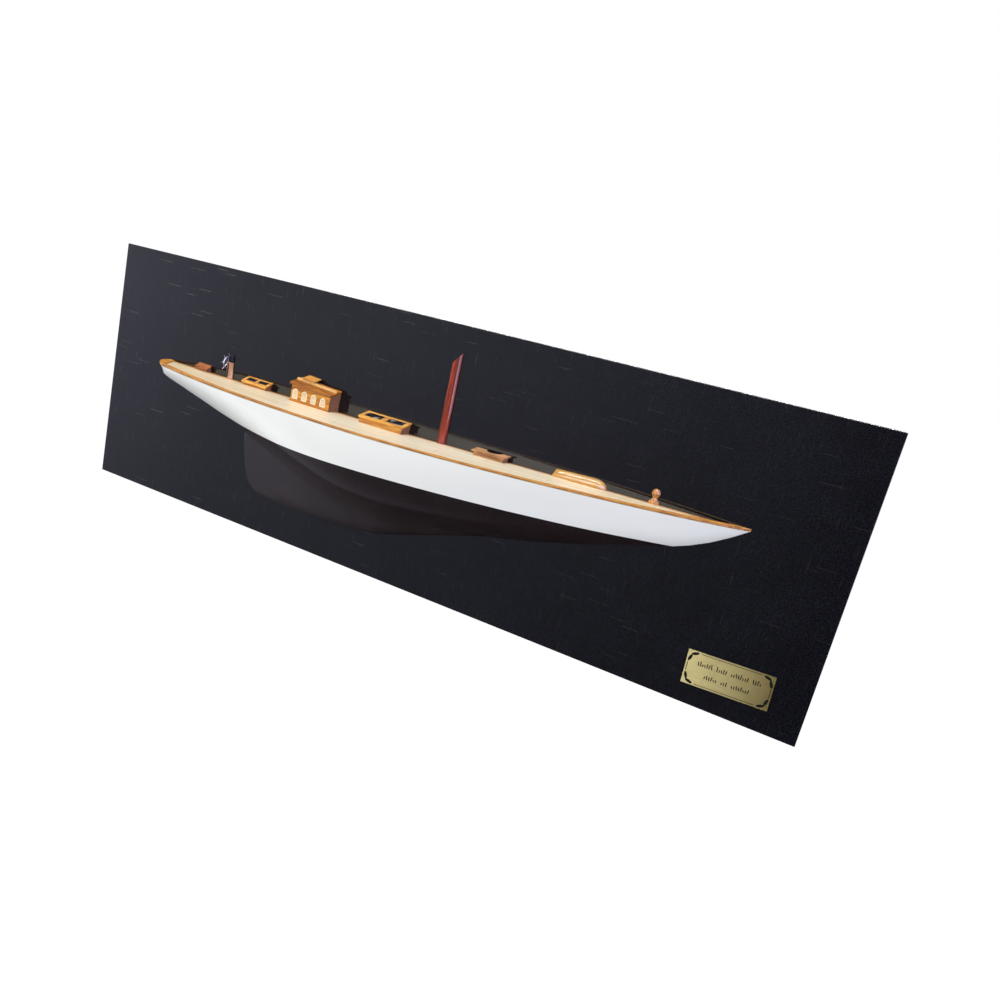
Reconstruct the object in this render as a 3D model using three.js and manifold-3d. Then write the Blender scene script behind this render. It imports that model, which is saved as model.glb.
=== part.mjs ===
// A yacht's half hull model on its wall board. Millimetres, +Z up, +X towards the bow.
// The origin is the middle of the board's back face, and the model stands out towards -Y.
// Shapes on the board are worked out as [x, out, z], where out is the distance from the
// hull's flat back, and are turned into the part's frame at the end.

import * as THREE from 'three';
import { mergeVertices } from 'three/addons/utils/BufferGeometryUtils.js';
import Module from 'manifold-3d';

const wasm = await Module();
wasm.setup();

// Board
const boardLength = 914;
const boardHeight = 300;
const boardThickness = 18;

// Clearance left between glued or seated pieces
const glueLine = 0.2;

// Hull, from the stern to the tip of the bow
const hullLength = 723;
const hullHalfBeam = 88;
const deckHeight = 22.3;
const bowRise = 9.1;
const keelDepth = 105;
const transomCorner = 0.0616;
const beamShare = 0.4024;
const sternNarrowing = 38;
const transomSweep = 43;
const transomReach = 1;
const transomRake = 13;
const rakeRoundness = 8;
const keelRounding = 0.75;

// Deck sheet, covering board and taffrail
const deckThickness = 2;
const railWidth = 7.5;
const railHeight = 1.35;
const railProud = 0.6;
const railSwell = 1.3;
const railInset = 0.5;
const tipOverhang = 0.8;
const taffrailWidth = 7.4;
const taffrailSlant = 0.697;
const taffrailInset = 0.4;
const taffrailProud = 1;

// Deck fittings stand at these shares of the hull's length, measured from the stern
const sternBox = { station: 0.0815, length: 18.6, depth: 7, height: 2.4, rise: 4.1, lid: 1.8, overhang: 0.7 };
const post = {
  station: 0.1382, radius: 3.2, foot: 3.9, footHeight: 1.2, taper: 1.8, collar: 3.5, collarHeight: 1,
  height: 19.2, lean: 0.06, capHeight: 9.3, capRadius: 3.1,
};
const wheel = {
  radius: 7, rim: 0.75, handleReach: 11.2, spoke: 0.55, hub: 1.7, height: 17.8, setback: 2.6, spokes: 8,
};
const aftSkylight = {
  station: 0.2022, length: 34.4, depth: 10.6, height: 3.4, rise: 4.9, frame: 1.6, overhang: 1.5,
  border: 2.1, mullion: 3.2, pane: 1.2,
};
const mainSkylight = {
  station: 0.455, length: 54.5, depth: 18.2, height: 5.8, rise: 4.6, frame: 1.8, overhang: 1.2,
  border: 3, mullion: 6.4, pane: 1.3,
};
const house = {
  station: 0.3235, length: 53.6, depth: 19, height: 17.4, rise: 5.4, fall: 2.9,
  roof: 2.5, overhangAft: 3, overhangForward: 0.6, overhangFront: 1.5, skirt: 0.6, skirtHeight: 1.8,
};
const windows = {
  count: 4, width: 7.4, height: 11.6, pitch: 12.9, start: 5.6, sill: 3.3, fall: 0.45, thickness: 0.7,
};
const roofRail = { out: 9.2, width: 1.9, height: 2.6, setback: 1 };
const slidingHatch = { start: 7, length: 17, setback: 4, depth: 9.2, reach: 12.3, height: 4.7, plate: 1.5 };
const mast = { station: 0.549, radius: 5.2, rake: 1.9, height: 98.6, cutAft: 1.3, cutOut: 0.37 };
const foreHatch = {
  station: 0.635, length: 34, depth: 14, height: 4.2, rise: 1.2, lid: 1.7, endOverhang: 2.6, overhang: 1.3,
  holeShare: 0.53, holeLength: 18, holeDepth: 8, floor: 1.2,
};
const dome = {
  station: 0.7686, length: 57.6, depth: 8, height: 8.2, rise: 1.1, slant: 3.2, nose: 15, squareness: 0.85,
  sections: 17, slantSections: 3, rows: 9,
};
const bitt = { station: 0.8738, base: 5.3, waist: 2.5, head: 4.2, headHeight: 4.6, height: 14.8 };

// Plaque: how far its middle is from the board's end and foot, size, small turn and engraving
const plaque = { fromEnd: 73.7, fromFoot: 39.2, length: 81.6, height: 34.6, thickness: 1.2, turn: 2.05 };
const engraving = { depth: 0.35, inset: 1.5, line: 0.6, stroke: 0.95, slant: 0.16, groupGap: 1.5 };
const flourish = { reach: 11, length: 8, width: 3, tilt: 0.35 };
const strokeRows = [
  { offset: 6.1, rowLength: 60, height: 5.2, groups: [7, 5, 8, 4] },
  { offset: -5.2, rowLength: 43, height: 4.7, groups: [6, 3, 8] },
];

// The hull's lines: shares of its length from the stern, then shares of the keel's depth,
// of the half beam or plain numbers
const rockerLine = [
  [0.009, -0.008], [0.084, -0.131], [0.167, -0.281], [0.236, -0.438], [0.305, -0.581], [0.416, -0.657],
  [0.555, -0.624], [0.654, -0.546], [0.776, -0.342], [0.873, -0.13], [0.929, -0.006], [0.97, 0.143], [1, 0.29],
];
const sectionFullness = [
  [0, 1.35], [0.184, 1.33], [0.25, 1.5], [0.305, 1.8], [0.375, 2.6], [0.444, 3.3], [0.582, 3.3], [0.665, 2.85],
  [0.79, 2.45], [1, 2.3],
];
const finHalfThickness = [
  [0.185, 0.014], [0.222, 0.034], [0.292, 0.074], [0.361, 0.108], [0.43, 0.125], [0.5, 0.119], [0.582, 0.08],
  [0.654, 0.023], [0.68, 0.006], [1, 0],
];
const garboardFillet = [
  [0, 0.006], [0.185, 0.011], [0.25, 0.028], [0.305, 0.09], [0.375, 0.205], [0.444, 0.27], [0.541, 0.227],
  [0.624, 0.1], [0.68, 0.023], [1, 0.006],
];
const rudderHead = 0.1856;
const forefoot = 0.6544;
const rudderEdge = [[0.1967, -0.571], [0.193, -0.914], [0.236, -0.983]];
const keelBase = [[0.292, -1.01], [0.395, -1.014], [0.465, -0.941]];
const forefootEdge = [[0.499, -0.895], [0.582, -0.69]];

// How finely the hull is cut: stations along each stretch of its lower edge and how far
// forward their lines reach at the top, rows down the body and the fin, columns across the top
const stretches = [
  { top: 0.178, stations: 11 },
  { top: 0.271, stations: 10 },
  { top: 0.444, stations: 7 },
  { top: 0.645, stations: 9 },
  { top: 1, stations: 16 },
];
const bodyRows = 14;
const finRows = 8;
const topColumns = 4;
const rowCrowding = 1.4;
const sternAllowance = 6;
const transomGrid = 12;
const roundSteps = 10;

const paint = {
  lacquer: new THREE.MeshStandardMaterial({ color: 0x1c1c22, roughness: 0.18, metalness: 0 }),
  hull: new THREE.MeshStandardMaterial({ color: 0xebebe8, roughness: 0.25, metalness: 0 }),
  maple: new THREE.MeshStandardMaterial({ color: 0xe6d4aa, roughness: 0.4, metalness: 0 }),
  railWood: new THREE.MeshStandardMaterial({ color: 0xc0803e, roughness: 0.35, metalness: 0 }),
  honey: new THREE.MeshStandardMaterial({ color: 0xd2963f, roughness: 0.35, metalness: 0 }),
  cream: new THREE.MeshStandardMaterial({ color: 0xefe6c8, roughness: 0.4, metalness: 0 }),
  mahogany: new THREE.MeshStandardMaterial({ color: 0x8f3016, roughness: 0.2, metalness: 0 }),
  paleWood: new THREE.MeshStandardMaterial({ color: 0xd8a878, roughness: 0.4, metalness: 0 }),
  darkGlass: new THREE.MeshStandardMaterial({ color: 0x15161c, roughness: 0.08, metalness: 0 }),
  steel: new THREE.MeshStandardMaterial({ color: 0xd4d4d8, roughness: 0.25, metalness: 1 }),
  brass: new THREE.MeshStandardMaterial({ color: 0xb5a266, roughness: 0.3, metalness: 1 }),
};

const backOfHull = -boardThickness - glueLine;

function stationX(share) {
  return (share - 0.5) * hullLength;
}

function shareOf(x) {
  return x / hullLength + 0.5;
}

// A smooth curve through the points of a short table, straight beyond its ends
function fair(table, x) {
  const last = table.length - 1;
  const slope = (i) => (table[i + 1][1] - table[i][1]) / (table[i + 1][0] - table[i][0]);
  const tangent = (i) => {
    if (i === 0) return slope(0);
    if (i === last) return slope(last - 1);
    const before = table[i][0] - table[i - 1][0];
    const after = table[i + 1][0] - table[i][0];
    return (slope(i - 1) * after + slope(i) * before) / (before + after);
  };
  if (x <= table[0][0]) return table[0][1] + tangent(0) * (x - table[0][0]);
  if (x >= table[last][0]) return table[last][1] + tangent(last) * (x - table[last][0]);
  let i = 0;
  while (x > table[i + 1][0]) i += 1;
  const span = table[i + 1][0] - table[i][0];
  const t = (x - table[i][0]) / span;
  const rise = t * t * (3 - 2 * t);
  const pull = t * (1 - t) * span * (tangent(i) * (1 - t) - tangent(i + 1) * t);
  return table[i][1] * (1 - rise) + table[i + 1][1] * rise + pull;
}

// Height of the deck: level aft, rising towards the bow
function sheer(x) {
  const start = stationX(0.4578);
  const along = Math.max(0, (x - start) / (stationX(1) - start));
  return deckHeight + bowRise * along ** 1.3;
}

function deckHalfBreadth(x) {
  const widest = stationX(beamShare);
  const corner = stationX(transomCorner);
  if (x < widest) return hullHalfBeam - sternNarrowing * ((widest - x) / (widest - corner)) ** 2.2;
  const along = Math.min(1, (x - widest) / (stationX(1) - widest));
  return hullHalfBeam * (1 - along ** 2) ** 0.87;
}

function hullTop(x) {
  return sheer(x) + railProud - railHeight - glueLine;
}

// Top of the covering board, which is thinnest amidships and thickens towards both ends
function railTop(x) {
  return sheer(x) + railProud + railSwell * (2 * shareOf(x) - 1) ** 2;
}

function rocker(x) {
  return keelDepth * fair(rockerLine, shareOf(x));
}

// Half breadth of the hull at a point of its side view: a hollow wineglass section that
// runs into the fin
function halfBreadth(x, z) {
  const top = hullTop(x);
  const down = (top - z) / (top - rocker(x));
  const full = fair(sectionFullness, shareOf(x));
  const beam = deckHalfBreadth(x);
  const body = down < 1 ? beam * (1 - Math.max(0, down) ** full) : -beam * full * (down - 1);
  const fin = Math.max(0, hullHalfBeam * fair(finHalfThickness, shareOf(x)));
  const fillet = Math.max(0, hullHalfBeam * fair(garboardFillet, shareOf(x)));
  const blend = (wide) => (wide + fin + Math.hypot(wide - fin, fillet)) / 2;
  return blend(body) - Math.max(0, 1 - down) * (blend(beam) - beam);
}

// How far the stern's rounded plan has run forward at a distance out, and the way back
function sweepAt(out) {
  return transomSweep * (out / (hullHalfBeam - sternNarrowing)) ** 2;
}

function outAtSweep(sweep) {
  return (hullHalfBeam - sternNarrowing) * Math.sqrt(Math.max(0, sweep) / transomSweep);
}

// Where the curved, raked transom lies at a distance out and a height
function transomX(out, z) {
  const below = Math.max(0, deckHeight - z);
  const aft = stationX(0) - transomReach;
  return aft + sweepAt(out) + transomRake * (1 - Math.exp(-below / rakeRoundness));
}

function bezier(points, t) {
  const [a, b, c, d] = points;
  const left = 1 - t;
  const mix = (k) => left ** 3 * a[k] + 3 * left ** 2 * t * b[k] + 3 * left * t ** 2 * c[k] + t ** 3 * d[k];
  return [mix(0), mix(1)];
}

// The lower edge of the side view in five stretches: counter, rudder, keel, forefoot, stem
function lowerEdge(stretch, t) {
  const onRocker = (share) => [stationX(share), rocker(stationX(share))];
  const placed = (points) => points.map(([share, depth]) => [stationX(share), depth * keelDepth]);
  const heel = placed(rudderEdge).at(-1);
  const toe = placed(keelBase).at(-1);
  if (stretch === 0) {
    const aft = shareOf(transomX(0, -Infinity));
    return onRocker(aft + (rudderHead - aft) * t);
  }
  if (stretch === 1) return bezier([onRocker(rudderHead), ...placed(rudderEdge)], t);
  if (stretch === 2) return bezier([heel, ...placed(keelBase)], t);
  if (stretch === 3) return bezier([toe, ...placed(forefootEdge), onRocker(forefoot)], t);
  return onRocker(forefoot + (1 - forefoot) * t);
}

function frontOfBoard([x, out, z]) {
  return [x, backOfHull - out, z];
}

// Closed body from rings of points, each ring with the same number of points. A ring that
// has shrunk to one point closes the body there, and the other ends are capped.
function loft(rings, capPlane) {
  const count = rings[0].length;
  const points = rings.flat().map(frontOfBoard);
  const faces = [];
  for (let r = 0; r + 1 < rings.length; r += 1) {
    for (let i = 0; i < count; i += 1) {
      const j = (i + 1) % count;
      const [a, b, c, d] = [r * count + i, r * count + j, (r + 1) * count + j, (r + 1) * count + i];
      faces.push([a, b, c], [a, c, d]);
    }
  }
  for (const r of [0, rings.length - 1]) {
    const flat = rings[r].map((p) => new THREE.Vector2(p[capPlane[0]], p[capPlane[1]]));
    const caps = THREE.ShapeUtils.triangulateShape(flat, []);
    const clockwise = THREE.ShapeUtils.isClockWise(flat);
    const flip = (r === 0) === clockwise;
    for (const [a, b, c] of caps) faces.push(flip ? [r * count + a, r * count + b, r * count + c]
      : [r * count + a, r * count + c, r * count + b]);
  }
  return closedGeometry(points, faces);
}

// Merges equal points, drops faces that have shrunk to nothing and turns the body outwards
function closedGeometry(points, faces) {
  const known = new Map();
  const merged = [];
  const index = points.map((p) => {
    const key = p.map((v) => Math.round(v * 1e4)).join();
    if (!known.has(key)) {
      known.set(key, merged.length);
      merged.push(p);
    }
    return known.get(key);
  });
  const kept = faces.map((f) => f.map((i) => index[i])).filter(([a, b, c]) => a !== b && b !== c && c !== a);
  const corner = kept.map((f) => f.map((i) => new THREE.Vector3(...merged[i])));
  const volume = corner.reduce((sum, [a, b, c]) => sum + a.dot(b.clone().cross(c)), 0);
  const outward = volume > 0 ? kept : kept.map(([a, b, c]) => [a, c, b]);
  const geometry = new THREE.BufferGeometry();
  geometry.setAttribute('position', new THREE.Float32BufferAttribute(merged.flat(), 3));
  geometry.setIndex(outward.flat());
  return geometry;
}

function toSolid(geometry) {
  const bare = geometry.clone();
  bare.deleteAttribute('normal');
  bare.deleteAttribute('uv');
  const merged = mergeVertices(bare, 1e-4);
  const vertProperties = new Float32Array(merged.attributes.position.array);
  const triVerts = new Uint32Array(merged.index.array);
  return new wasm.Manifold(new wasm.Mesh({ numProp: 3, vertProperties, triVerts }));
}

function toGeometry(solid) {
  const mesh = solid.getMesh();
  const geometry = new THREE.BufferGeometry();
  geometry.setAttribute('position', new THREE.BufferAttribute(new Float32Array(mesh.vertProperties), 3));
  geometry.setIndex(new THREE.BufferAttribute(new Uint32Array(mesh.triVerts), 1));
  return geometry;
}

function cut(geometry, ...tools) {
  return toGeometry(tools.reduce((solid, tool) => solid.subtract(toSolid(tool)), toSolid(geometry)));
}

function join(geometry, ...others) {
  return toGeometry(others.reduce((solid, other) => solid.add(toSolid(other)), toSolid(geometry)));
}

function range(count) {
  return Array.from({ length: count }, (_, i) => i);
}

// Box between two corners given as [x, out, z]
function block([x0, out0, z0], [x1, out1, z1]) {
  const box = new THREE.BoxGeometry(x1 - x0, out1 - out0, z1 - z0);
  return box.translate((x0 + x1) / 2, backOfHull - (out0 + out1) / 2, (z0 + z1) / 2);
}

// Flat-backed half of a turned piece, from a profile of [radius, z] points
function halfTurned(profile, x, lean = 0) {
  const base = profile[0][1];
  const steps = range(roundSteps + 1).map((i) => (Math.PI * i) / roundSteps);
  const rings = profile.map(([radius, z]) =>
    steps.map((angle) => [x - lean * (z - base) + radius * Math.cos(angle), radius * Math.sin(angle), z]));
  return loft(rings, [0, 1]);
}

// Where the line of a station crosses from the body to the fin, as a share of its way down
function creaseShare(topX, lowX, lowZ) {
  const above = (down) => {
    const x = topX + (lowX - topX) * down;
    return hullTop(topX) + (lowZ - hullTop(topX)) * down > rocker(x);
  };
  let [low, high] = [0, 1];
  for (let pass = 0; pass < 30; pass += 1) {
    const middle = (low + high) / 2;
    if (above(middle)) low = middle;
    else high = middle;
  }
  return low;
}

// One station: across the top from the board, then down the side to the lower edge
function hullStation(stretch, t) {
  const start = shareOf(stationX(0) - sternAllowance);
  const topStart = stretch === 0 ? start : stretches[stretch - 1].top;
  const topX = stationX(topStart + (stretches[stretch].top - topStart) * t);
  const [lowX, lowZ] = lowerEdge(stretch, t);
  const crease = creaseShare(topX, lowX, lowZ);
  const breadth = deckHalfBreadth(topX);
  const across = range(topColumns).map((j) => [topX, (breadth * j) / topColumns, hullTop(topX)]);
  const body = range(bodyRows + 1).map((i) => crease * (1 - (1 - i / bodyRows) ** rowCrowding));
  const downFin = (i) => (1 - Math.cos((Math.PI * (i + 1)) / finRows)) / 2;
  const fin = range(finRows - 1).map((i) => crease + (1 - crease) * downFin(i));
  const side = [...body, ...fin].map((down) => {
    const x = topX + (lowX - topX) * down;
    const z = hullTop(topX) + (lowZ - hullTop(topX)) * down;
    const rounding = Math.max(0.01, hullHalfBeam * fair(finHalfThickness, shareOf(x)) * keelRounding);
    const inset = Math.min(1, Math.hypot(x - lowX, z - lowZ) / rounding);
    return [x, Math.max(0, halfBreadth(x, z)) * Math.sqrt(inset * (2 - inset)), z];
  });
  return [...across, ...side, [lowX, 0, lowZ]];
}

function hullBody() {
  const rings = stretches.flatMap(({ stations }, stretch) =>
    range(stations).map((i) => hullStation(stretch, i / stations)));
  const tip = [stationX(1), 0, hullTop(stationX(1))];
  rings.push(rings[0].map(() => tip));
  return loft(rings, [1, 2]);
}

// Everything abaft the transom's curved and raked face
function sternCutter() {
  const reach = hullHalfBeam + sternAllowance;
  const far = stationX(0) - hullHalfBeam;
  const [high, low] = [deckHeight + sternAllowance, -keelDepth / 2];
  const down = (i) => deckHeight + (low - deckHeight) * (i / (transomGrid - 1)) ** 2;
  const heights = [high, ...range(transomGrid).map(down)];
  const rings = range(transomGrid * 2 + 1).map((i) => {
    const out = -sternAllowance + ((reach + sternAllowance) * i) / (transomGrid * 2);
    return [...heights.map((z) => [transomX(out, z), out, z]), [far, out, low], [far, out, high]];
  });
  return loft(rings, [0, 2]);
}

// Plan of the deck sheet: its side at a place along the deck, for a given inset
function deckSide(x, inset) {
  const slope = (deckHalfBreadth(x + 1) - deckHalfBreadth(x - 1)) / 2;
  return deckHalfBreadth(x) - (railWidth + inset) * Math.hypot(1, slope);
}

// Its slanting end against the taffrail
function deckEnd(x, inset) {
  return (x - deckAft(inset)) / taffrailSlant;
}

function deckEdge(x, inset) {
  return Math.max(0, Math.min(deckSide(x, inset), deckEnd(x, inset)));
}

function deckAft(inset) {
  return stationX(0) + taffrailInset + taffrailWidth + inset * Math.hypot(1, taffrailSlant);
}

// Where the slanting end meets the side
function deckCorner(inset) {
  let [low, high] = [deckAft(inset), stationX(transomCorner)];
  for (let pass = 0; pass < 30; pass += 1) {
    const middle = (low + high) / 2;
    if (deckEnd(middle, inset) < deckSide(middle, inset)) low = middle;
    else high = middle;
  }
  return low;
}

// Where the deck has narrowed to its tip against the board near the bow
function deckNose(inset) {
  const tipWidth = 0.3;
  const step = 0.25;
  let x = stationX(0.9);
  while (deckEdge(x, inset) > tipWidth) x += step;
  return x;
}

// Places along the deck, closer together towards the bow
function deckPlaces(inset) {
  const corner = deckCorner(inset);
  const start = stationX(transomCorner) + inset;
  const nose = deckNose(inset);
  const forward = range(33).map((i) => start + (nose - start) * Math.sin((Math.PI / 2) * (i / 32)));
  return [deckAft(inset), corner, (corner + start) / 2, ...forward];
}

function deckSlab(inset, below, above) {
  const rings = deckPlaces(inset).map((x) => {
    const out = Math.max(0.01, deckEdge(x, inset));
    const [low, high] = [sheer(x) - below, sheer(x) + above];
    return [[x, 0, low], [x, out, low], [x, out, high], [x, 0, high]];
  });
  return loft(rings, [1, 2]);
}

function halfHull() {
  return cut(hullBody(), sternCutter(), deckSlab(0, deckThickness + glueLine, railProud));
}

function deck() {
  return deckSlab(glueLine, deckThickness, 0);
}

// Covering board: from the transom's corner to the tip, closing over the deck at the bow
function coveringBoard() {
  const start = stationX(transomCorner);
  const nose = deckNose(0);
  const tip = stationX(1) + tipOverhang;
  const beside = range(33).map((i) => start + (nose - start) * Math.sin((Math.PI / 2) * (i / 32)));
  const ahead = range(5).map((i) => nose + (tip - nose) * ((i + 1) / 5));
  const rings = [...beside, ...ahead].map((x) => {
    const outer = Math.max(tipOverhang / 2, deckHalfBreadth(x) - railInset);
    const inner = x < nose ? deckEdge(x, 0) : 0;
    const low = hullTop(x) + glueLine;
    const high = railTop(x);
    return [[x, inner, low], [x, outer, low], [x, outer, high], [x, inner, high]];
  });
  return loft(rings, [1, 2]);
}

// Taffrail: round the transom outside, and against the deck's slanting end and side inside
function taffrail() {
  const aft = stationX(0) + taffrailInset;
  const inner = deckAft(0);
  const corner = deckCorner(0);
  const end = stationX(transomCorner) - glueLine;
  const places = [
    ...range(6).map((i) => aft + (inner - aft) * (i / 6) ** 2),
    ...range(6).map((i) => inner + (corner - inner) * (i / 6)),
    corner, (corner + end) / 2, end,
  ];
  const low = hullTop(stationX(0)) + glueLine;
  const high = sheer(stationX(0)) + taffrailProud;
  const rings = places.map((x) => {
    const [near, far] = [deckEdge(x, 0), Math.max(0.05, outAtSweep(x - aft))];
    return [[x, near, low], [x, far, low], [x, far, high], [x, near, high]];
  });
  return loft(rings, [1, 2]);
}

// Deck fittings stand a glue line above the deck and follow its slope
function deckUnder(x) {
  return sheer(x) + glueLine;
}

// Body with vertical sides whose foot follows the deck. The top is given as a height above
// the deck at each corner of [out, height] points.
function standing(x0, x1, topSection, steps = 1) {
  const depth = topSection.at(-1)[0];
  const rings = range(steps + 1).map((i) => {
    const x = x0 + ((x1 - x0) * i) / steps;
    const foot = deckUnder(x);
    return [[x, 0, foot], ...topSection.map(([out, height]) => [x, out, foot + height]), [x, depth, foot]];
  });
  return loft(rings, [1, 2]);
}

// Sloping slab over a standing body, from its underside's height at the board
function slopedLid(x0, x1, depth, backHeight, frontHeight, thickness, steps = 1) {
  const rings = range(steps + 1).map((i) => {
    const x = x0 + ((x1 - x0) * i) / steps;
    const foot = deckUnder(x);
    const slope = (frontHeight - backHeight) / depth;
    const back = foot + backHeight;
    const front = back + slope * depth;
    return [[x, 0, back], [x, depth, front], [x, depth, front + thickness], [x, 0, back + thickness]];
  });
  return loft(rings, [1, 2]);
}

function ends({ station, length }) {
  const middle = stationX(station);
  return [middle - length / 2, middle + length / 2];
}

// Line of a lid's underside: its height at the board and at the lid's front edge
function lidLine({ depth, height, rise, overhang }) {
  const slope = rise / depth;
  const back = height + rise + glueLine;
  const front = height + glueLine - slope * overhang;
  return { back, front, reach: depth + overhang };
}

function sternBoxBody() {
  const [x0, x1] = ends(sternBox);
  const { depth, height, rise } = sternBox;
  return standing(x0, x1, [[0, height + rise], [depth, height]]);
}

function sternBoxLid() {
  const [x0, x1] = ends(sternBox);
  const { back, front, reach } = lidLine(sternBox);
  return slopedLid(x0 - sternBox.overhang, x1 + sternBox.overhang, reach, back, front, sternBox.lid);
}

function steeringPost() {
  const x = stationX(post.station);
  const foot = deckUnder(x);
  const { radius, collar, height } = post;
  const footTop = foot + post.footHeight;
  const collarFoot = foot + height - post.collarHeight;
  return halfTurned([
    [post.foot, foot], [post.foot, footTop], [radius, footTop + post.taper], [radius, collarFoot - 1],
    [collar, collarFoot], [collar, foot + height],
  ], x, post.lean);
}

function steeringCap() {
  const x = stationX(post.station) - post.lean * post.height;
  const foot = deckUnder(x) + post.height + glueLine;
  const straight = post.capHeight - post.capRadius;
  const round = range(6).map((i) => (Math.PI / 2) * (i / 6));
  return halfTurned([
    [post.capRadius, foot],
    ...round.map((a) => [post.capRadius * Math.cos(a), foot + straight + post.capRadius * Math.sin(a)]),
    [0, foot + post.capHeight],
  ], x, post.lean);
}

// Half of a spoked wheel, cut where it meets the board, with its axle towards the post
function steeringWheel() {
  const postX = stationX(post.station) - post.lean * wheel.height;
  const x = postX - post.collar - wheel.setback;
  const z = deckUnder(stationX(post.station)) + wheel.height;
  const rimSteps = range(17).map((i) => Math.PI * (i / 16));
  const rim = loft(rimSteps.map((a) => range(8).map((i) => {
    const turn = (Math.PI * 2 * i) / 8;
    const radius = wheel.radius + wheel.rim * Math.cos(turn);
    return [x + wheel.rim * Math.sin(turn), radius * Math.sin(a), z + radius * Math.cos(a)];
  })), [0, 2]);
  const spokes = range(wheel.spokes / 2 + 1).map((i) => {
    const rod = new THREE.CylinderGeometry(wheel.spoke, wheel.spoke, wheel.handleReach, 6);
    rod.translate(0, wheel.handleReach / 2, 0).rotateX(Math.PI / 2 + (Math.PI * 2 * i) / wheel.spokes);
    return rod.translate(x, backOfHull, z);
  });
  const reach = wheel.setback - glueLine;
  const hub = new THREE.CylinderGeometry(wheel.hub, wheel.hub, reach, 12).rotateZ(Math.PI / 2);
  hub.translate(x + reach / 2, backOfHull, z);
  const wide = wheel.handleReach * 2;
  const behind = block([x - wide, -wide, z - wide], [x + wide, 0, z + wide]);
  return cut(join(rim, hub, ...spokes), behind);
}

function skylightCoaming(skylight) {
  const [x0, x1] = ends(skylight);
  const { depth, height, rise } = skylight;
  return standing(x0, x1, [[0, height + rise], [depth, height]], 4);
}

// Places of the two panes: along the deck and out from the board
function paneSpans(skylight) {
  const [x0, x1] = ends(skylight);
  const { border, mullion, depth } = skylight;
  const width = (x1 - x0 - 2 * border - mullion) / 2;
  return range(2).map((i) => {
    const start = x0 + border + i * (width + mullion);
    return { x0: start, x1: start + width, out0: border, out1: depth - border };
  });
}

function skylightFrame(skylight) {
  const [x0, x1] = ends(skylight);
  const { back, front, reach } = lidLine(skylight);
  const { overhang, frame } = skylight;
  const slab = slopedLid(x0 - overhang, x1 + overhang, reach, back, front, frame, 4);
  const high = deckUnder(x1) + back + frame + 1;
  const low = deckUnder(x0) - 1;
  const opening = (pane) => block([pane.x0, pane.out0, low], [pane.x1, pane.out1, high]);
  const holes = paneSpans(skylight).map(opening);
  return cut(slab, ...holes);
}

// Pane sunk in its opening, lying on the coaming
function skylightPane(skylight, index) {
  const pane = paneSpans(skylight)[index];
  const { back, front, reach } = lidLine(skylight);
  const slope = (front - back) / reach;
  const line = (out) => back + slope * out;
  const rings = [pane.x0 + glueLine, pane.x1 - glueLine].map((x) => {
    const foot = deckUnder(x);
    const [near, far] = [pane.out0 + glueLine, pane.out1 - glueLine];
    const [nearLow, farLow] = [foot + line(near), foot + line(far)];
    const nearHigh = nearLow + skylight.pane;
    const farHigh = farLow + skylight.pane;
    return [[x, near, nearLow], [x, far, farLow], [x, far, farHigh], [x, near, nearHigh]];
  });
  return loft(rings, [1, 2]);
}

// The house's roof line runs down towards the bow: how much lower it is at a place
function houseFall(x) {
  const [x0, x1] = ends(house);
  return (house.fall * (x - (x0 + x1) / 2)) / (x1 - x0);
}

function houseFoot() {
  return deckUnder(ends(house)[0]);
}

// Height of the walls' top, then of the roof's underside, at a place and a distance out
function wallTop(x, out) {
  return houseFoot() + house.height + house.rise * (1 - out / house.depth) - houseFall(x);
}

function roofTop(x, out) {
  return wallTop(x, out) + glueLine + house.roof;
}

// Sloping layer over the house between two places along it and two distances out
function roofLayer([x0, x1], [out0, out1], low, high) {
  return loft([x0, x1].map((x) => [
    [x, out0, low(x, out0)], [x, out1, low(x, out1)], [x, out1, high(x, out1)], [x, out0, high(x, out0)],
  ]), [1, 2]);
}

function houseWalls() {
  const [x0, x1] = ends(house);
  const { depth, skirt, skirtHeight } = house;
  const walls = roofLayer([x0, x1], [0, depth], houseFoot, wallTop);
  const foot = block([x0 - skirt, 0, houseFoot()], [x1 + skirt, depth + skirt, houseFoot() + skirtHeight]);
  return cut(join(walls, foot), ...range(windows.count).map((i) => windowPlate(i, glueLine, house.skirt)));
}

// Arched panel let into the front wall: a plate with a half-round head. With a clearance
// it is the pocket that the panel sits in.
function windowPlate(index, clearance, proud) {
  const middle = ends(house)[0] + windows.start + index * windows.pitch;
  const sill = houseFoot() + windows.sill;
  const radius = windows.width / 2 + clearance;
  const springing = sill + windows.height - index * windows.fall - windows.width / 2;
  const arch = range(11).map((k) => (Math.PI * k) / 10);
  const outline = [
    [middle - radius, sill - clearance], [middle + radius, sill - clearance],
    ...arch.map((a) => [middle + radius * Math.cos(a), springing + radius * Math.sin(a)]),
  ];
  const back = house.depth - windows.thickness - clearance;
  return loft([back, house.depth + proud].map((out) => outline.map(([x, z]) => [x, out, z])), [0, 2]);
}

function houseRoof() {
  const [x0, x1] = ends(house);
  const { depth, overhangAft, overhangForward, overhangFront } = house;
  const underside = (x, out) => wallTop(x, out) + glueLine;
  return roofLayer([x0 - overhangAft, x1 + overhangForward], [0, depth + overhangFront], underside, roofTop);
}

// Lath along the roof, on which the sliding hatch runs
function houseRoofRail() {
  const [x0, x1] = ends(house);
  const underside = (x, out) => roofTop(x, out) + glueLine;
  const top = (x, out) => underside(x, out) + roofRail.height;
  const span = [x0 - roofRail.setback, x1 + house.overhangForward];
  return roofLayer(span, [roofRail.out, roofRail.out + roofRail.width], underside, top);
}

// The hatch's plate runs on past its body, which stands back by the setback
function slidingHatchSpan(setback = 0) {
  const start = ends(house)[0] + slidingHatch.start;
  return [start, start + slidingHatch.length - setback];
}

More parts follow.
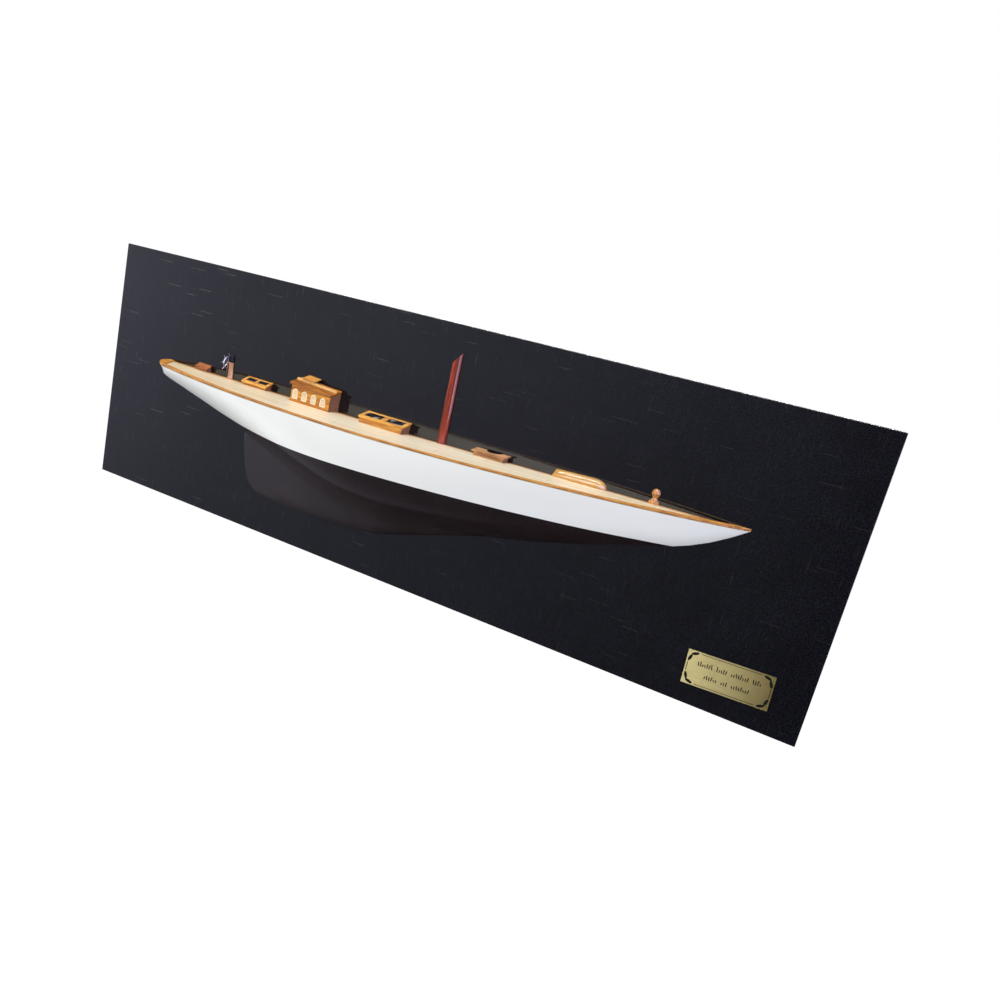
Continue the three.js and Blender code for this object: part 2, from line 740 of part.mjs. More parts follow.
function slidingHatchTop(x, out) {
  return roofTop(x, out) + glueLine + slidingHatch.height - slidingHatch.plate;
}

function slidingHatchBody() {
  const underside = (x, out) => roofTop(x, out) + glueLine;
  const span = slidingHatchSpan(slidingHatch.setback);
  return roofLayer(span, [0, slidingHatch.depth], underside, slidingHatchTop);
}

function slidingHatchPlate() {
  const underside = (x, out) => slidingHatchTop(x, out) + glueLine;
  const top = (x, out) => underside(x, out) + slidingHatch.plate;
  return roofLayer(slidingHatchSpan(), [0, slidingHatch.reach], underside, top);
}

// Mast stub: a half-round raked spar with a slanting top
function mastStub() {
  const x = stationX(mast.station);
  const foot = deckUnder(x + mast.radius);
  const lean = mast.rake / mast.height;
  const spar = halfTurned([[mast.radius, foot], [mast.radius * 0.96, foot + mast.height + 1]], x, lean);
  const peakX = x - mast.rake + mast.radius;
  const peak = foot + mast.height;
  const wide = mast.radius * 4;
  const plane = (px, out) => peak + mast.cutAft * (px - peakX) - mast.cutOut * out;
  const rings = [peakX - wide, peakX + wide].map((px) => [
    [px, -wide, plane(px, -wide)], [px, wide, plane(px, wide)],
    [px, wide, peak + mast.height], [px, -wide, peak + mast.height],
  ]);
  return cut(spar, loft(rings, [1, 2]));
}

// Half-oval opening against the board, from a level up through the lid
function foreHatchOpening(low) {
  const [x0, x1] = ends(foreHatch);
  const { length, height, holeShare, holeLength, holeDepth } = foreHatch;
  const middle = x0 + holeShare * length;
  const arc = range(13).map((i) => (Math.PI * i) / 12);
  const half = holeLength / 2;
  const oval = arc.map((a) => [middle + half * Math.cos(a), holeDepth * Math.sin(a)]);
  const outline = [[middle + half, -1], ...oval, [middle - half, -1]];
  const rings = [low, deckUnder(x1) + height * 3].map((z) => outline.map(([px, out]) => [px, out, z]));
  return loft(rings, [0, 1]);
}

// Coaming with a well under the opening, which leaves a thin floor
function foreHatchCoaming() {
  const [x0, x1] = ends(foreHatch);
  const { height, rise, depth, floor } = foreHatch;
  const body = standing(x0, x1, [[0, height + rise], [depth, height]], 3);
  return cut(body, foreHatchOpening(deckUnder(x1) + floor));
}

function foreHatchLid() {
  const [x0, x1] = ends(foreHatch);
  const { lid, endOverhang } = foreHatch;
  const { back, front, reach } = lidLine(foreHatch);
  const slab = slopedLid(x0 - endOverhang, x1 + endOverhang, reach, back, front, lid, 3);
  return cut(slab, foreHatchOpening(deckUnder(x0) - 1));
}

// Long rounded cover: a quarter-round section with a slanting aft end and a rounded nose
function deckDome() {
  const [x0, x1] = ends(dome);
  const { length, depth, height, rise, slant, slantSections, nose, squareness, sections, rows } = dome;
  const rings = range(sections + 1).map((i) => {
    const ahead = (i - slantSections) / (sections - slantSections);
    const forward = slant + (length - slant) * Math.sin((Math.PI / 2) * ahead);
    const along = ahead < 0 ? (slant * i) / slantSections : forward;
    const x = x0 + along;
    const opening = Math.min(1, along / slant);
    const intoNose = Math.max(0, (x - x1 + nose) / nose);
    const closing = Math.sqrt(Math.max(0, 1 - intoNose ** 2.2));
    const top = Math.max(glueLine, (height + rise * (along / length)) * closing * opening);
    const reach = Math.max(glueLine, depth * closing * (0.9 + 0.1 * opening));
    const foot = deckUnder(x);
    const arc = range(rows + 1).map((k) => (Math.PI / 2) * (k / rows));
    const outAt = (a) => reach * Math.cos(a) ** squareness;
    const skin = arc.map((a) => [x, outAt(a), foot + top * Math.sin(a) ** squareness]);
    return [[x, 0, foot], ...skin];
  });
  return loft(rings, [1, 2]);
}

// Turned post: a round foot narrowing to a waist, under a ball that is taller than a sphere
function bittPost() {
  const x = stationX(bitt.station);
  const { base, waist, head, height, headHeight } = bitt;
  const foot = deckUnder(x + base);
  const ballMiddle = foot + height - headHeight;
  const ball = range(8).map((i) => ((3 * i) / 8 - 1) * (Math.PI / 4));
  return halfTurned([
    [base, foot], [base, foot + base * 0.28], [(base + waist) / 2, foot + base * 0.65], [waist, foot + base],
    [waist, foot + base * 1.18],
    ...ball.map((a) => [head * Math.cos(a), ballMiddle + (a > 0 ? headHeight : head) * Math.sin(a)]),
    [0, foot + height],
  ], x);
}

// Shallow bar for engraving, between two corners of the plaque's face
function engravedBar(x0, z0, x1, z1, slant = 0) {
  const box = new THREE.BoxGeometry(x1 - x0, engraving.depth * 2, z1 - z0).rotateY(slant);
  return box.translate((x0 + x1) / 2, -plaque.thickness / 2, (z0 + z1) / 2);
}

// Border line with a gap at each corner, where a flourish of two leaves stands
function plaqueBorder() {
  const { inset, line, depth } = engraving;
  const [right, high] = [plaque.length / 2 - inset, plaque.height / 2 - inset];
  const [endX, endZ] = [right - flourish.reach, high - flourish.reach];
  const lines = [
    engravedBar(-endX, high - line, endX, high), engravedBar(-endX, -high, endX, line - high),
    engravedBar(-right, -endZ, line - right, endZ), engravedBar(right - line, -endZ, right, endZ),
  ];
  const { reach, length, width, tilt } = flourish;
  const leaf = (x, z, turn) => {
    const oval = new THREE.CylinderGeometry(0.5, 0.5, depth * 2, 8).scale(length, 1, width);
    return oval.rotateY(turn).translate(x, -plaque.thickness / 2, z);
  };
  const leaves = [[1, 1], [-1, 1], [-1, -1], [1, -1]].flatMap(([sideX, sideZ]) => {
    const turn = sideX * sideZ * tilt;
    return [
      leaf(sideX * (right - reach / 2), sideZ * (high - width / 2), turn),
      leaf(sideX * (right - width / 2), sideZ * (high - reach * 0.6), Math.PI / 2 - turn),
    ];
  });
  return [...lines, ...leaves];
}

// Rows of short strokes of uneven height, in groups
function plaqueStrokes() {
  const { stroke, slant, groupGap } = engraving;
  return strokeRows.flatMap(({ offset, rowLength, height, groups }) => {
    const slots = groups.reduce((sum, n) => sum + n, 0) + (groups.length - 1) * groupGap;
    const pitch = rowLength / slots;
    let slot = 0;
    return groups.flatMap((n) => {
      const group = range(n).map((i) => {
        const x = -rowLength / 2 + (slot + i + 0.5) * pitch;
        const share = [1, 0.62, 0.8, 0.55, 0.9][(i * 3 + n) % 5];
        const low = offset - height / 2;
        const lean = [slant, -slant, 0][(i + n) % 3];
        return engravedBar(x - stroke / 2, low, x + stroke / 2, low + height * share, lean);
      });
      slot += n + groupGap;
      return group;
    });
  });
}

function plaquePlate() {
  const plate = new THREE.BoxGeometry(plaque.length, plaque.thickness, plaque.height);
  return cut(plate, ...plaqueBorder(), ...plaqueStrokes());
}

function addMesh(group, name, geometry, material) {
  const mesh = new THREE.Mesh(geometry, material);
  mesh.name = name;
  group.add(mesh);
  return mesh;
}

const model = new THREE.Group();

const board = addMesh(
  model, 'backboard', new THREE.BoxGeometry(boardLength, boardThickness, boardHeight), paint.lacquer,
);
board.position.y = -boardThickness / 2;

addMesh(model, 'half_hull', halfHull(), paint.hull);
addMesh(model, 'deck', deck(), paint.maple);
addMesh(model, 'covering_board', coveringBoard(), paint.railWood);
addMesh(model, 'taffrail', taffrail(), paint.railWood);
addMesh(model, 'stern_box', sternBoxBody(), paint.honey);
addMesh(model, 'stern_box_lid', sternBoxLid(), paint.honey);
addMesh(model, 'steering_post', steeringPost(), paint.paleWood);
addMesh(model, 'steering_cap', steeringCap(), paint.darkGlass);
addMesh(model, 'steering_wheel', steeringWheel(), paint.steel);

for (const [name, skylight] of [['aft_skylight', aftSkylight], ['main_skylight', mainSkylight]]) {
  addMesh(model, `${name}_coaming`, skylightCoaming(skylight), paint.honey);
  addMesh(model, `${name}_frame`, skylightFrame(skylight), paint.honey);
  for (const i of range(2)) addMesh(model, `${name}_pane_${i + 1}`, skylightPane(skylight, i), paint.darkGlass);
}

addMesh(model, 'house_walls', houseWalls(), paint.honey);
addMesh(model, 'house_roof', houseRoof(), paint.honey);
addMesh(model, 'house_roof_rail', houseRoofRail(), paint.cream);
addMesh(model, 'sliding_hatch', slidingHatchBody(), paint.honey);
addMesh(model, 'sliding_hatch_plate', slidingHatchPlate(), paint.honey);
for (const i of range(windows.count)) addMesh(model, `house_window_${i + 1}`, windowPlate(i, 0, 0), paint.cream);

addMesh(model, 'mast_stub', mastStub(), paint.mahogany);
addMesh(model, 'fore_hatch_coaming', foreHatchCoaming(), paint.honey);
addMesh(model, 'fore_hatch_lid', foreHatchLid(), paint.honey);
addMesh(model, 'deck_dome', deckDome(), paint.honey);
addMesh(model, 'bitt', bittPost(), paint.paleWood);

const plate = addMesh(model, 'plaque', plaquePlate(), paint.brass);
plate.position.set(
  boardLength / 2 - plaque.fromEnd, backOfHull - plaque.thickness / 2, plaque.fromFoot - boardHeight / 2,
);
plate.rotation.y = THREE.MathUtils.degToRad(-plaque.turn);

export default model;
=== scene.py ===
# Half hull of a sailing yacht on its black wall board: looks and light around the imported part.
# Metres, +Z up, +X towards the bow. The board's back lies on y = 0 and the hull stands out to -Y.
# Sizes in the dictionaries are in mm, and so are places called from and to. A noise lists its
# scale, detail, roughness and distortion. A range, also one of tapering, thinning or thickness,
# lists where its mask starts and ends, and the mask's values there if they aren't 0 and 1. Ranges
# along X are in metres.

import math

import bpy
from mathutils import Matrix, Vector


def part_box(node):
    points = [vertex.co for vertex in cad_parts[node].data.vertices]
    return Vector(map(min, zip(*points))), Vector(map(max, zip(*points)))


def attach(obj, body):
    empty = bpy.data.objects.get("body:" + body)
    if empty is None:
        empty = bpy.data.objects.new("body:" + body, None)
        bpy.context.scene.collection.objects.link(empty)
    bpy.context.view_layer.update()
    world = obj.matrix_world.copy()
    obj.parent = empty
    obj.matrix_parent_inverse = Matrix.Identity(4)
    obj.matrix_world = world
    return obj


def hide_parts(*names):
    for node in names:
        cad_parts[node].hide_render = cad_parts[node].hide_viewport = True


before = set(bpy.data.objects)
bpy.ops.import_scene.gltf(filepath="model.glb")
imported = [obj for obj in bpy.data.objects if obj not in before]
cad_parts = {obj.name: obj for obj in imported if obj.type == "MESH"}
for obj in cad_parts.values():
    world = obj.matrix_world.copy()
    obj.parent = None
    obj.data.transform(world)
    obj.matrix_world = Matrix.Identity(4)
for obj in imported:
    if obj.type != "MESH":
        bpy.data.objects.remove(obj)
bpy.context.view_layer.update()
mm = 0.001
print("frame loaded:", len(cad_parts), "nodes")


# Small helpers

def deselectAll():
    if bpy.context.object and bpy.context.object.mode != "OBJECT":
        bpy.ops.object.mode_set(mode="OBJECT")
    bpy.ops.object.select_all(action="DESELECT")


def pick(piece):
    deselectAll()
    piece.select_set(True)
    bpy.context.view_layer.objects.active = piece


def editMesh(piece):
    pick(piece)
    bpy.ops.object.mode_set(mode="EDIT")
    bpy.ops.mesh.select_all(action="SELECT")


# Faces are picked by a test on their place or normal, and edit mode opens on them
def editFaces(piece, test):
    editMesh(piece)
    bpy.ops.mesh.select_mode(type="FACE")
    bpy.ops.mesh.select_all(action="DESELECT")
    bpy.ops.object.mode_set(mode="OBJECT")
    for face in piece.data.polygons:
        face.select = test(face)
    bpy.ops.object.mode_set(mode="EDIT")


def applyModifier(piece, kind, **values):
    pick(piece)
    modifier = piece.modifiers.new(kind.title(), kind)
    for name, value in values.items():
        setattr(modifier, name, value)
    bpy.ops.object.modifier_apply(modifier=modifier.name)


def smoothByAngle(piece, degrees=35):
    pick(piece)
    bpy.ops.object.shade_smooth_by_angle(angle=math.radians(degrees))


def settle(piece):
    pick(piece)
    bpy.ops.object.transform_apply(location=True, rotation=True, scale=True)


# A piece that rides on the root body and stands for a CAD node
def finishPiece(piece, slotName, *nodes):
    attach(piece, "root")
    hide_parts(*nodes)


# Merged copy of a CAD node. Unless flat is 0, faces that lie flat to within that many degrees are
# made whole again, ready for bevels
def copyOfNode(node, name, merge=0.01, flat=0.6):
    piece = bpy.data.objects.new(name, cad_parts[node].data.copy())
    bpy.context.scene.collection.objects.link(piece)
    editMesh(piece)
    bpy.ops.mesh.remove_doubles(threshold=merge * mm)
    if flat:
        bpy.ops.mesh.dissolve_limited(angle_limit=math.radians(flat))
    bpy.ops.object.mode_set(mode="OBJECT")
    return piece


def softEdges(piece, width, segments=2, angle=30):
    applyModifier(
        piece, "BEVEL", width=width * mm, segments=segments, limit_method="ANGLE",
        angle_limit=math.radians(angle), use_clamp_overlap=True,
    )
    smoothByAngle(piece)
    applyModifier(piece, "WEIGHTED_NORMAL", mode="FACE_AREA", weight=100, keep_sharp=True)


# Node building

# A colour as the eye sees it, 0 to 255
def srgb(r, g, b):
    def linear(v):
        v /= 255
        return v / 12.92 if v <= 0.04045 else ((v + 0.055) / 1.055) ** 2.4
    return (linear(r), linear(g), linear(b), 1.0)


class Sheet:
    def __init__(self, tree):
        self.tree = tree

    def add(self, kind, **settings):
        node = self.tree.nodes.new(kind)
        for name, value in settings.items():
            setattr(node, name, value)
        return node

    def link(self, source, target):
        self.tree.links.new(source, target)

    def feed(self, socket, value):
        if isinstance(value, bpy.types.NodeSocket):
            self.link(value, socket)
        else:
            socket.default_value = value

    def math(self, operation, a, b=0.0, clamp=False):
        node = self.add("ShaderNodeMath", operation=operation, use_clamp=clamp)
        self.feed(node.inputs[0], a)
        self.feed(node.inputs[1], b)
        return node.outputs[0]

    def plus(self, a, b, clamp=False):
        return self.math("ADD", a, b, clamp)

    def minus(self, a, b):
        return self.math("SUBTRACT", a, b)

    def over(self, a, b):
        return self.math("DIVIDE", a, b)

    def times(self, product, *others):
        for other in others:
            product = self.math("MULTIPLY", product, other)
        return product

    def mix(self, factor, a, b, blend="MIX"):
        node = self.add("ShaderNodeMix", data_type="RGBA", blend_type=blend)
        self.feed(node.inputs[0], factor)
        self.feed(node.inputs[6], a)
        self.feed(node.inputs[7], b)
        return node.outputs[2]

    def span(self, value, low, high, toLow=0.0, toHigh=1.0, smooth=False):
        kind = "SMOOTHSTEP" if smooth else "LINEAR"
        node = self.add("ShaderNodeMapRange", interpolation_type=kind)
        self.feed(node.inputs[0], value)
        for index, number in enumerate((low, high, toLow, toHigh), 1):
            self.feed(node.inputs[index], number)
        return node.outputs[0]

    # 1 between two values and 0 outside them
    def inside(self, value, low, high):
        above = self.math("GREATER_THAN", value, low)
        return self.times(above, self.math("LESS_THAN", value, high))

    def noise(self, vector, scale, detail=3.0, roughness=0.5, distortion=0.0):
        node = self.add("ShaderNodeTexNoise")
        self.feed(node.inputs["Vector"], vector)
        self.feed(node.inputs["Scale"], scale)
        self.feed(node.inputs["Detail"], detail)
        self.feed(node.inputs["Roughness"], roughness)
        self.feed(node.inputs["Distortion"], distortion)
        return node.outputs["Fac"]

    def mapped(self, vector, scale=(1, 1, 1), turn=(0, 0, 0)):
        node = self.add("ShaderNodeMapping")
        self.feed(node.inputs["Vector"], vector)
        self.feed(node.inputs["Rotation"], turn)
        self.feed(node.inputs["Scale"], scale)
        return node.outputs["Vector"]

    # The place divided by a pattern's size, so that a larger size gives a coarser pattern
    def sized(self, vector, size):
        node = self.add("ShaderNodeVectorMath", operation="SCALE")
        self.link(vector, node.inputs[0])
        self.link(self.over(1.0, size), node.inputs["Scale"])
        return node.outputs[0]

    def parts(self, vector):
        node = self.add("ShaderNodeSeparateXYZ")
        self.link(vector, node.inputs[0])
        return node.outputs[0], node.outputs[1], node.outputs[2]

    def joined(self, x, y, z):
        node = self.add("ShaderNodeCombineXYZ")
        for socket, value in zip(node.inputs, (x, y, z)):
            self.feed(socket, value)
        return node.outputs[0]


def newGroup(name, inputs, outputs):
    tree = bpy.data.node_groups.new(name, "ShaderNodeTree")
    for socketName, kind, value in inputs:
        socket = tree.interface.new_socket(name=socketName, in_out="INPUT", socket_type=kind)
        socket.default_value = value
    for socketName, kind in outputs:
        tree.interface.new_socket(name=socketName, in_out="OUTPUT", socket_type=kind)
    sheet = Sheet(tree)
    return sheet, sheet.add("NodeGroupInput").outputs, sheet.add("NodeGroupOutput").inputs


# Grain along X: broad figure, fibres and dark pores
woodPattern = {
    "stretch": (60, 900, 900), "poreStretch": (0.8, 2.6, 2.6),
    "figure": (0.35, 3, 0.6, 0.6), "figureRange": (0.34, 0.66),
    "fibre": (1.6, 4, 0.65, 0.1), "fibreShare": 0.5, "contrast": 0.9,
    "pore": (2.2, 2, 0.5), "poreRange": (0.6, 0.72), "poreTone": 0.55,
    "poreColor": (0.02, 0.008, 0.003, 1), "poreRoughness": 0.2,
}


def buildWoodGrain():
    sheet, given, out = newGroup(
        "woodGrain",
        [
            ("Vector", "NodeSocketVector", (0, 0, 0)),
            ("Pale", "NodeSocketColor", (0.6, 0.4, 0.2, 1)),
            ("Dark", "NodeSocketColor", (0.3, 0.15, 0.05, 1)),
            ("Grain Size", "NodeSocketFloat", 1.0),
            ("Streaks", "NodeSocketFloat", 0.5),
            ("Pores", "NodeSocketFloat", 0.4),
        ],
        [
            ("Color", "NodeSocketColor"),
            ("Height", "NodeSocketFloat"),
            ("Gloss Loss", "NodeSocketFloat"),
        ],
    )
    stretched = sheet.mapped(given["Vector"], scale=woodPattern["stretch"])
    place = sheet.sized(stretched, given["Grain Size"])
    figure = sheet.noise(place, *woodPattern["figure"])
    fibre = sheet.noise(place, *woodPattern["fibre"])
    pores = sheet.noise(sheet.mapped(place, scale=woodPattern["poreStretch"]), *woodPattern["pore"])
    bands = sheet.span(figure, *woodPattern["figureRange"], smooth=True)
    streaks = sheet.times(bands, given["Streaks"])
    depth = sheet.plus(streaks, sheet.times(fibre, woodPattern["fibreShare"]))
    depth = sheet.math("MULTIPLY", depth, woodPattern["contrast"], clamp=True)
    tone = sheet.mix(depth, given["Pale"], given["Dark"])
    opened = sheet.span(pores, *woodPattern["poreRange"])
    poreMask = sheet.math("MULTIPLY", opened, given["Pores"], clamp=True)
    darker = sheet.mix(woodPattern["poreTone"], given["Dark"], woodPattern["poreColor"])
    sheet.link(sheet.mix(poreMask, tone, darker), out["Color"])
    sheet.link(sheet.minus(fibre, poreMask), out["Height"])
    sheet.link(sheet.times(poreMask, woodPattern["poreRoughness"]), out["Gloss Loss"])
    return sheet.tree


# Sprayed or brushed skin: fine ripples, specks of dust and slow clouds in the shine
paintPattern = {
    "ripple": (420, 2, 0.5), "cloud": (14, 3, 0.55), "cloudRoughness": 0.12, "meanRoughness": 0.06,
    "speck": (1500, 2, 0.5), "speckRange": (0.68, 0.76),
}


def buildPaintSkin():
    sheet, given, out = newGroup(
        "paintSkin",
        [
            ("Vector", "NodeSocketVector", (0, 0, 0)),
            ("Dust", "NodeSocketFloat", 0.3),
            ("Ripple Size", "NodeSocketFloat", 1.0),
        ],
        [
            ("Height", "NodeSocketFloat"),
            ("Roughness Shift", "NodeSocketFloat"),
            ("Cloud", "NodeSocketFloat"),
        ],
    )
    rippled = sheet.sized(given["Vector"], given["Ripple Size"])
    ripples = sheet.noise(rippled, *paintPattern["ripple"])
    specks = sheet.noise(given["Vector"], *paintPattern["speck"])
    dust = sheet.times(sheet.span(specks, *paintPattern["speckRange"]), given["Dust"])
    cloud = sheet.noise(given["Vector"], *paintPattern["cloud"])
    sheet.link(sheet.plus(ripples, dust), out["Height"])
    shift = sheet.plus(sheet.times(cloud, paintPattern["cloudRoughness"]), dust)
    sheet.link(sheet.minus(shift, paintPattern["meanRoughness"]), out["Roughness Shift"])
    sheet.link(cloud, out["Cloud"])
    return sheet.tree


# Mask of rubbed edges, worn and with a painted highlight: the normal of a rounded edge against the
# face's own
edgeWearAndHighlightPattern = {"samples": 4, "turn": (0.99, 0.85), "gap": (700, 3, 0.6), "gapRange": (0.3, 0.6)}


def buildEdgeWearAndHighlight():
    sheet, given, out = newGroup(
        "edgeWearAndHighlight",
        [
            ("Vector", "NodeSocketVector", (0, 0, 0)),
            ("Radius", "NodeSocketFloat", 0.0004),
            ("Amount", "NodeSocketFloat", 0.5),
        ],
        [("Mask", "NodeSocketFloat")],
    )
    bevel = sheet.add("ShaderNodeBevel", samples=edgeWearAndHighlightPattern["samples"])
    sheet.link(given["Radius"], bevel.inputs["Radius"])
    dot = sheet.add("ShaderNodeVectorMath", operation="DOT_PRODUCT")
    sheet.link(bevel.outputs[0], dot.inputs[0])
    sheet.link(sheet.add("ShaderNodeNewGeometry").outputs["Normal"], dot.inputs[1])
    edge = sheet.span(dot.outputs["Value"], *edgeWearAndHighlightPattern["turn"])
    broken = sheet.span(sheet.noise(given["Vector"], *edgeWearAndHighlightPattern["gap"]), *edgeWearAndHighlightPattern["gapRange"])
    sheet.link(sheet.times(edge, broken, given["Amount"]), out["Mask"])
    return sheet.tree


woodGrain = buildWoodGrain()
paintSkin = buildPaintSkin()
edgeWearAndHighlight = buildEdgeWearAndHighlight()
print("node groups built")


def newMaterial(name, coat=0.0, coatRoughness=0.1, ior=1.5, metallic=0.0):
    material = bpy.data.materials.new(name)
    material.use_nodes = True
    shader = material.node_tree.nodes["Principled BSDF"]
    shader.inputs["Coat Weight"].default_value = coat
    shader.inputs["Coat Roughness"].default_value = coatRoughness
    shader.inputs["IOR"].default_value = ior
    shader.inputs["Metallic"].default_value = metallic
    sheet = Sheet(material.node_tree)
    place = sheet.add("ShaderNodeTexCoord").outputs["Object"]
    return material, sheet, shader, place


def useGroup(sheet, tree, values):
    node = sheet.add("ShaderNodeGroup", node_tree=tree)
    for name, value in values.items():
        sheet.feed(node.inputs[name], value)
    return node.outputs


def paint(sheet, shader, color, roughness):
    sheet.link(color, shader.inputs["Base Color"])
    sheet.link(roughness, shader.inputs["Roughness"])


def bump(sheet, shader, height, distance, strength=1.0):
    node = sheet.add("ShaderNodeBump")
    node.inputs["Strength"].default_value = strength
    node.inputs["Distance"].default_value = distance * mm
    sheet.feed(node.inputs["Height"], height)
    sheet.link(node.outputs[0], shader.inputs["Normal"])


# Black lacquer of the board
board = {
    "bevel": 0.6, "bevelSegments": 3,
    "black": srgb(2, 2, 5), "fleck": srgb(29, 30, 36), "streak": srgb(60, 60, 64),
    "fleckSize": 1.4, "fleckDetail": (4, 0.75), "fleckRange": (0.42, 0.66),
    "cloud": (24, 3, 0.6), "cloudRange": (0.3, 0.7, 0.6, 1.0),
    "roughness": 0.06, "streakRoughness": 0.2, "ior": 1.5, "dust": 0.1, "rippleSize": 2.0,
    "skinRelief": 0.1, "bump": 0.02, "bumpStrength": 0.3,
}

# Thin light dashes along it, each at random in its own cell of a staggered grid. Its start, length
# and level are shares of the cell
dash = {
    "rowHeight": 8.0, "cellLength": 52.0, "share": 0.26, "latestStart": 0.4,
    "shortest": 0.35, "longer": 0.25, "taper": (0.0, 0.12), "lowest": 0.2, "higher": 0.6,
    "thickness": (0.03, 0.07, 1.0, 0.0), "patch": (7, 2, 0.5), "patchRange": (0.42, 0.6),
    "gap": (260, 2, 0.5), "gapRange": (0.3, 0.5), "thinning": (-0.2, 0.35, 1.0, 0.25),
}

# Short upright hairs between them
hair = {
    "width": 1.4, "length": 26.0, "noise": (1.0, 2, 0.5), "range": (0.62, 0.76),
    "thinning": (-0.4, 0.3, 0.55, 0.22),
}


def boardDashes(sheet, place, x, z):
    rows = sheet.over(z, dash["rowHeight"] * mm)
    row = sheet.math("FLOOR", rows)
    stagger = sheet.add("ShaderNodeTexWhiteNoise", noise_dimensions="1D")
    sheet.link(row, stagger.inputs["W"])
    cells = sheet.plus(sheet.over(x, dash["cellLength"] * mm), stagger.outputs["Value"])
    cell = sheet.add("ShaderNodeTexWhiteNoise", noise_dimensions="2D")
    sheet.link(sheet.joined(sheet.math("FLOOR", cells), row, 0.0), cell.inputs["Vector"])
    start, length, level = sheet.parts(cell.outputs["Color"])
    along = sheet.minus(sheet.math("FRACT", cells), sheet.times(start, dash["latestStart"]))
    end = sheet.plus(dash["shortest"], sheet.times(length, dash["longer"]))
    head = sheet.span(along, *dash["taper"], smooth=True)
    tail = sheet.span(sheet.minus(end, along), *dash["taper"], smooth=True)
    middle = sheet.plus(dash["lowest"], sheet.times(level, dash["higher"]))
    offset = sheet.minus(sheet.math("FRACT", rows), middle)
    across = sheet.span(sheet.math("ABSOLUTE", offset), *dash["thickness"])
    there = sheet.math("LESS_THAN", cell.outputs["Value"], dash["share"])
    # they thin out towards the bow's end of the board, and come in patches
    spread = sheet.span(x, *dash["thinning"])
    patches = sheet.span(sheet.noise(place, *dash["patch"]), *dash["patchRange"], smooth=True)
    broken = sheet.span(sheet.noise(place, *dash["gap"]), *dash["gapRange"])
    return sheet.times(head, tail, across, there, spread, patches, broken)


def boardHairs(sheet, x, z):
    across = sheet.over(x, hair["width"] * mm)
    along = sheet.over(z, hair["length"] * mm)
    hairs = sheet.noise(sheet.joined(across, 0.0, along), *hair["noise"])
    return sheet.times(sheet.span(hairs, *hair["range"]), sheet.span(x, *hair["thinning"]))


def makeBoardMaterial():
    material, sheet, shader, place = newMaterial("blackLacquer", ior=board["ior"])
    x, _, z = sheet.parts(place)
    mark = sheet.plus(boardDashes(sheet, place, x, z), boardHairs(sheet, x, z), clamp=True)
    flecks = sheet.noise(place, 1 / (board["fleckSize"] * mm), *board["fleckDetail"])
    cloud = sheet.span(sheet.noise(place, *board["cloud"]), *board["cloudRange"])
    share = sheet.times(sheet.span(flecks, *board["fleckRange"]), cloud)
    black = sheet.mix(share, board["black"], board["fleck"])
    rough = sheet.plus(board["roughness"], sheet.times(mark, board["streakRoughness"]))
    paint(sheet, shader, sheet.mix(mark, black, board["streak"]), rough)
    skin = useGroup(sheet, paintSkin, {
        "Vector": place, "Dust": board["dust"], "Ripple Size": board["rippleSize"],
    })
    relief = sheet.plus(sheet.times(skin["Height"], board["skinRelief"]), mark)
    bump(sheet, shader, relief, board["bump"], board["bumpStrength"])
    return material


hullPaint = {
    "white": srgb(232, 233, 232), "whiteCloud": srgb(226, 228, 230), "whiteCloudShare": 0.4,
    "dark": srgb(24, 15, 15), "darkCloud": srgb(33, 23, 24), "darkCloudRange": (0.35, 0.65),
    "coat": 0.18, "coatRoughness": 0.07, "roughness": 0.24, "dust": 0.12, "rippleSize": 1.6,
    "skinRelief": 0.08, "whiteRelief": 0.6, "bump": 0.05, "bumpStrength": 0.4,
}

# Where the white ends: its height amidships, its slope, half its soft edge, and how far it wavers
waterline = {"height": -13.4, "slope": 0.028, "edge": 0.18, "wander": 0.25, "waves": (18, 2, 0.5)}


def makeHullMaterial():
    material, sheet, shader, place = newMaterial(
        "hullPaint", hullPaint["coat"], hullPaint["coatRoughness"])
    x, _, z = sheet.parts(place)
    waves = sheet.minus(sheet.noise(place, *waterline["waves"]), 0.5)
    line = sheet.plus(sheet.times(x, waterline["slope"]), waterline["height"] * mm)
    above = sheet.plus(sheet.minus(z, line), sheet.times(waves, waterline["wander"] * mm))
    white = sheet.span(above, -waterline["edge"] * mm, waterline["edge"] * mm)
    skin = useGroup(sheet, paintSkin, {
        "Vector": place, "Dust": hullPaint["dust"], "Ripple Size": hullPaint["rippleSize"],
    })
    darkShare = sheet.span(skin["Cloud"], *hullPaint["darkCloudRange"])
    dark = sheet.mix(darkShare, hullPaint["dark"], hullPaint["darkCloud"])
    whiteShare = sheet.times(skin["Cloud"], hullPaint["whiteCloudShare"])
    pale = sheet.mix(whiteShare, hullPaint["white"], hullPaint["whiteCloud"])
    rough = sheet.plus(hullPaint["roughness"], skin["Roughness Shift"])
    paint(sheet, shader, sheet.mix(white, dark, pale), rough)
    ripples = sheet.times(skin["Height"], hullPaint["skinRelief"])
    relief = sheet.plus(ripples, sheet.times(white, hullPaint["whiteRelief"]))
    bump(sheet, shader, relief, hullPaint["bump"], hullPaint["bumpStrength"])
    return material
